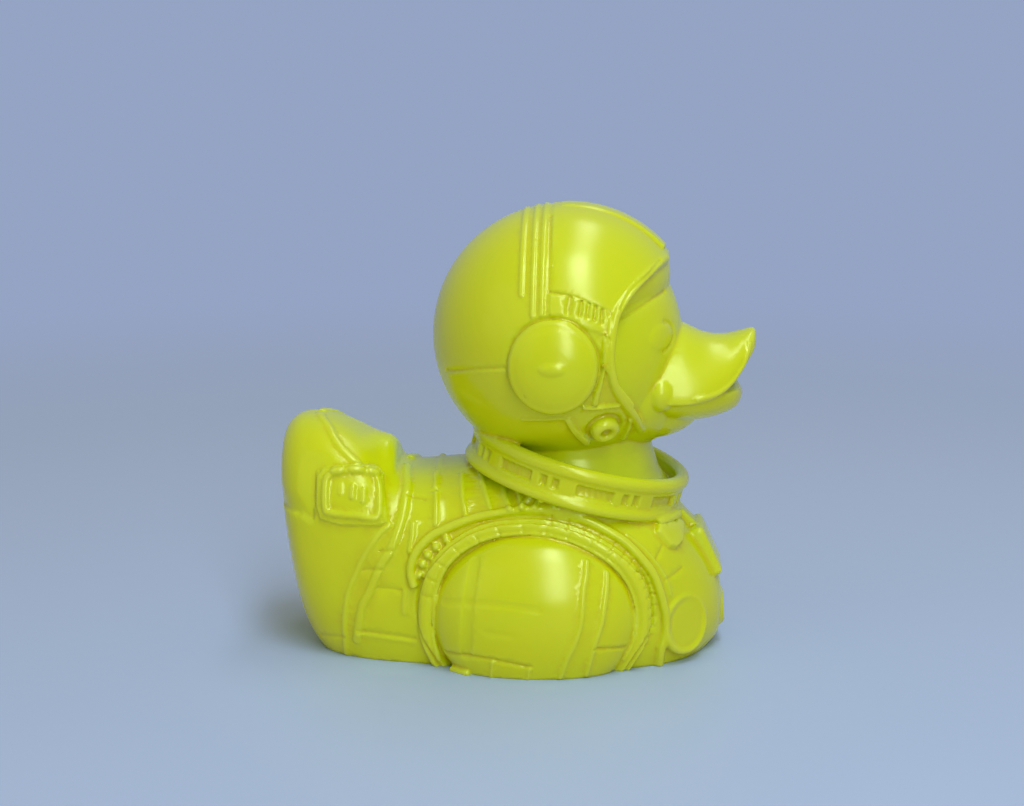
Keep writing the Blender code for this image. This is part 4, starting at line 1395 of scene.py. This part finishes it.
@dataclass(frozen=True)
class DuckPlastic:
    """Yellow satin plastic with a slight green cast, finely grained, with painted shade deepening its colour in the
    hollows and a painted highlight paling it on the ridges.
    """

    lit: Colour = (0.53, 0.72, 0.004, 1.0)
    warm: Colour = (0.60, 0.68, 0.002, 1.0)
    # Painted shade: a darker golden colour laid in the hollows and creases.
    hollow_shade: Colour = (0.50, 0.46, 0.001, 1.0)
    # Painted highlight: a pale green colour laid on the ridges, where the surface bends outward.
    ridge: Colour = (0.64, 0.82, 0.12, 1.0)
    sheen: Colour = (0.85, 1.0, 0.62, 1.0)
    roughness: float = 0.20
    unevenness: float = 0.08
    refraction: float = 1.45
    gloss: float = 0.85
    cloud_scale: float = 60.0
    grain_scale: float = 900.0
    bump: float = 0.12
    bump_height: float = 0.0001

    def make(self) -> bpy.types.Material:
        """Builds the material.

        Returns:
            The finished material.
        """
        material = bpy.data.materials.new("duck_plastic")
        bench = NodeBench.emptied(material)
        place = bench.sock("ShaderNodeTexCoord", output="Object")
        fold = bench.sock("ShaderNodeAttribute", {"attribute_name": "fold"}, output="Fac")
        cloud, grain = (
            bench.sock("ShaderNodeTexNoise", {}, {"Vector": place, "Scale": scale, "Detail": detail}, "Fac")
            for scale, detail in ((self.cloud_scale, 3.0), (self.grain_scale, 4.0))
        )
        colour = bench.blend(cloud * 0.8 - 0.1, self.lit, self.warm)
        # Painted shade: the colour turns darker and more golden where the surface bends inward.
        colour = bench.blend(0.9 - fold * 2.0, colour, self.hollow_shade)
        # Painted highlight: the colour turns paler and greener where the surface bends outward.
        colour = bench.blend(fold * 1.1 - 0.62, colour, self.ridge)
        height = {"Strength": self.bump, "Distance": self.bump_height, "Height": grain + cloud * 2.0}
        surface = bench.sock(
            "ShaderNodeBsdfPrincipled",
            {},
            {
                "Base Color": colour,
                "Roughness": self.roughness + cloud * self.unevenness,
                "Normal": bench.sock("ShaderNodeBump", {}, height),
                "IOR": self.refraction,
                "Specular IOR Level": self.gloss,
                "Specular Tint": self.sheen,
            },
        )
        bench.add("ShaderNodeOutputMaterial", {}, {"Surface": surface})
        return material


@dataclass(frozen=True)
class FloorPaint:
    """A pale matt floor that turns into an even backdrop away from the duck."""

    near: Colour = (0.38, 0.55, 0.95, 1.0)
    bounce: Colour = (0.60, 0.55, 0.40, 1.0)
    far: Colour = BACKDROP
    clear: float = 0.16
    fade: float = 0.30
    roughness: float = 0.5
    unevenness: float = 0.12
    cloud_scale: float = 220.0

    def make(self) -> bpy.types.Material:
        """Builds the material.

        Returns:
            The finished material.
        """
        material = bpy.data.materials.new("floor")
        bench = NodeBench.emptied(material)
        place = bench.sock("ShaderNodeTexCoord", output="Object")
        noise = {"Vector": place, "Scale": self.cloud_scale, "Detail": 3.0}
        cloud = bench.sock("ShaderNodeTexNoise", {}, noise, "Fac")
        away = bench.sock("ShaderNodeVectorMath", {"operation": "LENGTH"}, {"Vector": place}, "Value")
        reach = {"Value": away, "From Min": self.clear, "From Max": self.clear + self.fade}
        spread = bench.sock("ShaderNodeMapRange", {"interpolation_type": "SMOOTHSTEP"}, reach)
        seen = bench.seen()
        colour = bench.blend(seen, self.bounce, self.near)
        finish = {"Base Color": colour, "Roughness": self.roughness + cloud * self.unevenness}
        paint = bench.sock("ShaderNodeBsdfPrincipled", {}, finish)
        backdrop = bench.sock("ShaderNodeEmission", {}, {"Color": self.far, "Strength": 1.0})
        surface = bench.sock("ShaderNodeMixShader", {}, {0: spread * seen, 1: paint, 2: backdrop})
        bench.add("ShaderNodeOutputMaterial", {}, {"Surface": surface})
        return material


@dataclass
class MouldedDuck:
    """The whole duck, moulded into one surface from its parts."""

    detail: Detail
    torso: Torso = field(default_factory=Torso)
    wings: Wings = field(default_factory=Wings)
    face: Face = field(default_factory=Face)
    bill: Bill = field(default_factory=Bill)
    helmet: Helmet = field(default_factory=Helmet)
    ears: EarSets = field(default_factory=EarSets)
    ring: NeckRing = field(default_factory=NeckRing)
    tail: TailKit = field(default_factory=TailKit)
    chest: ChestKit = field(default_factory=ChestKit)
    plastic: DuckPlastic = field(default_factory=DuckPlastic)

    @property
    def parts(self) -> tuple[Part, ...]:
        """The sub-assemblies, in the order in which they are made."""
        head = (self.face, self.bill, self.helmet, self.ears)
        return (self.torso, self.wings, *head, self.ring, self.tail, self.chest)

    def shells(self) -> bpy.types.Mesh:
        """Builds every closed form.

        Returns:
            All of them in one mesh, overlapping.
        """
        body = Body(self.torso)
        forms = Forms()
        for part in self.parts:
            before = len(forms.shells)
            part.build(forms, body)
            LOG.info("%s: %d closed forms", type(part).__name__, len(forms.shells) - before)
        return forms.joined()

    def moulded(self, shells: bpy.types.Mesh) -> bpy.types.Mesh:
        """Melts the overlapping forms into one surface and softens it a little.

        Args:
            shells: The overlapping forms. They are removed here.

        Returns:
            The outer surface.
        """
        obj = staged(shells)
        melt = obj.modifiers.new("melt", "REMESH")
        melt.mode = "VOXEL"
        melt.voxel_size = self.detail.voxel * MM
        soften = obj.modifiers.new("soften", "SMOOTH")
        soften.factor = 0.5
        soften.iterations = 3
        surface = evaluated(obj)
        bpy.data.objects.remove(obj)
        return surface

    def thinned(self, surface: bpy.types.Mesh) -> bpy.types.Mesh:
        """Cuts the base flat and keeps the detail that the surface needs.

        Args:
            surface: The moulded surface with its relief. It is removed here.

        Returns:
            The finished mesh.
        """
        work = bmesh.new()
        work.from_mesh(surface)
        bpy.data.meshes.remove(surface)
        bmesh.ops.bisect_plane(
            work,
            geom=[*work.verts, *work.edges, *work.faces],
            dist=1e-7,
            plane_co=(0.0, 0.0, 0.0),
            plane_no=(0.0, 0.0, 1.0),
            clear_inner=True,
        )
        open_edges = [edge for edge in work.edges if edge.is_boundary]
        bmesh.ops.holes_fill(work, edges=open_edges)
        bmesh.ops.triangulate(work, faces=work.faces)
        mesh = bpy.data.meshes.new("duck_body")
        work.to_mesh(mesh)
        LOG.info("%d triangles before thinning", len(work.faces))
        ratio = min(1.0, self.detail.triangles / len(work.faces))
        work.free()
        obj = staged(mesh)
        thin = obj.modifiers.new("thin", "DECIMATE")
        thin.ratio = ratio
        thinned = evaluated(obj)
        bpy.data.objects.remove(obj)
        for vertex in thinned.vertices:
            vertex.co.z = max(vertex.co.z, 0.0)
        return thinned

    @staticmethod
    def mark_folds(mesh: bpy.types.Mesh) -> None:
        """Stores how the surface bends at each vertex: near 0 where it bends inward, 0.5 where flat, near 1 where it
        bends outward. The plastic paints shade where it bends inward and a highlight where it bends outward.

        Args:
            mesh: The finished mesh, in metres.
        """
        count = len(mesh.vertices)
        places, normals = read_vertices(mesh)
        ends = np.empty(len(mesh.edges) * 2, dtype=np.int32)
        mesh.edges.foreach_get("vertices", ends)
        first, second = ends.reshape(-1, 2).T
        run = places[second] - places[first]
        bend = ((normals[second] - normals[first]) * run).sum(axis=1) / np.maximum((run**2).sum(axis=1), 1e-4)
        sharing = np.bincount(ends, minlength=count).clip(1)
        value = (np.bincount(first, bend, count) + np.bincount(second, bend, count)) / sharing
        for _ in range(3):
            around = np.bincount(first, value[second], count) + np.bincount(second, value[first], count)
            value = 0.5 * value + 0.5 * around / sharing
        fold = 0.5 + 0.5 * np.tanh(value * 1.2)
        mesh.attributes.new("fold", "FLOAT", "POINT").data.foreach_set("value", fold.astype(np.float32))

    def build(self) -> bpy.types.Object:
        """Builds, decorates and dresses the duck.

        Returns:
            The finished object.
        """
        surface = self.moulded(self.shells())
        LOG.info("%d vertices moulded", len(surface.vertices))
        relief = Relief(surface)
        for part in self.parts:
            part.decorate(relief)
        relief.apply()
        mesh = self.thinned(surface)
        self.mark_folds(mesh)
        mesh.name = "moulded_duck"
        mesh.shade_smooth()
        mesh.materials.clear()
        mesh.materials.append(self.plastic.make())
        duck = staged(mesh)
        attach(duck, "root")
        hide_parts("duck")
        LOG.info("moulded_duck: %d triangles", len(mesh.polygons))
        return duck


@dataclass(frozen=True)
class Studio:
    """A pale floor, soft lights and the camera.

    Each lamp holds its name, place, size, power in watts and turn about its own axis in degrees.
    """

    azimuth: float = math.radians(3.0)
    elevation: float = math.radians(11.5)
    distance: float = 0.476
    target: Point3 = (0.0015, 0.0, 0.049)
    focal_pixels: float = 2355.0
    photo_width: int = 1024
    floor_paint: FloorPaint = field(default_factory=FloorPaint)
    lamps: tuple[tuple[str, Point3, Point2, float, float], ...] = (
        ("window", (0.175, -0.531, 0.551), (0.19, 1.1), 3.8, -10.0),
        ("fill", (-0.55, -0.45, 0.35), (0.6, 0.6), 0.3, 0.0),
        ("top", (0.16, 0.0, 0.78), (1.0, 0.14), 1.5, 0.0),
    )
    light: Colour = (1.0, 0.70, 0.22, 1.0)
    strength: float = 0.40
    backdrop: Colour = BACKDROP

    @property
    def back(self) -> Vector:
        """The direction from the duck to the camera."""
        flat = math.cos(self.elevation)
        return Vector((math.sin(self.azimuth) * flat, -math.cos(self.azimuth) * flat, math.sin(self.elevation)))

    def lamp(self, name: str, place: Sequence[float], size: Point2, watts: float, roll: float) -> None:
        """Adds a soft rectangular lamp that points at the duck.

        Args:
            name: Its name.
            place: Where it hangs, in metres.
            size: Its width and height.
            watts: Its power.
            roll: Its turn about its own axis, in degrees.
        """
        data = bpy.data.lights.new(name, "AREA")
        data.shape = "RECTANGLE"
        data.size, data.size_y = size
        data.energy = watts
        obj = staged(data)
        obj.location = place
        facing = (Vector(place) - Vector(self.target)).to_track_quat("Z", "Y").to_matrix()
        obj.rotation_euler = (facing @ Matrix.Rotation(math.radians(roll), 3, "Z")).to_euler()

    def floor(self) -> None:
        """Lays the floor."""
        work = bmesh.new()
        bmesh.ops.create_grid(work, x_segments=1, y_segments=1, size=4.0)
        mesh = bpy.data.meshes.new("floor")
        work.to_mesh(mesh)
        work.free()
        mesh.materials.append(self.floor_paint.make())
        staged(mesh)

    def world(self) -> None:
        """Sets an even light all round, seen as a pale backdrop."""
        world = bpy.data.worlds.new("studio")
        bpy.context.scene.world = world
        bench = NodeBench.emptied(world)
        lighting = bench.sock("ShaderNodeBackground", {}, {"Color": self.light, "Strength": self.strength})
        backdrop = bench.sock("ShaderNodeBackground", {}, {"Color": self.backdrop})
        surface = bench.sock("ShaderNodeMixShader", {}, {0: bench.seen(), 1: lighting, 2: backdrop})
        bench.add("ShaderNodeOutputWorld", {}, {"Surface": surface})

    def camera(self) -> None:
        """Stands the camera where the photograph was taken from."""
        data = bpy.data.cameras.new("camera")
        data.lens = self.focal_pixels / self.photo_width * data.sensor_width
        obj = staged(data)
        obj.location = Vector(self.target) + self.back * self.distance
        obj.rotation_euler = self.back.to_track_quat("Z", "Y").to_euler()
        bpy.context.scene.camera = obj

    def build(self) -> None:
        """Sets up the whole studio."""
        bpy.context.scene.view_settings.view_transform = "Standard"
        self.floor()
        self.world()
        self.camera()
        for lamp in self.lamps:
            self.lamp(*lamp)
        LOG.info("studio: floor, world, camera and %d lamps", len(self.lamps))


def main() -> None:
    """Builds the duck and the studio."""
    logging.basicConfig(level=logging.INFO, format="%(name)s: %(message)s")
    duck = MouldedDuck(Detail.FULL)
    duck.build()
    Studio().build()


if __name__ == "__main__":
    main()
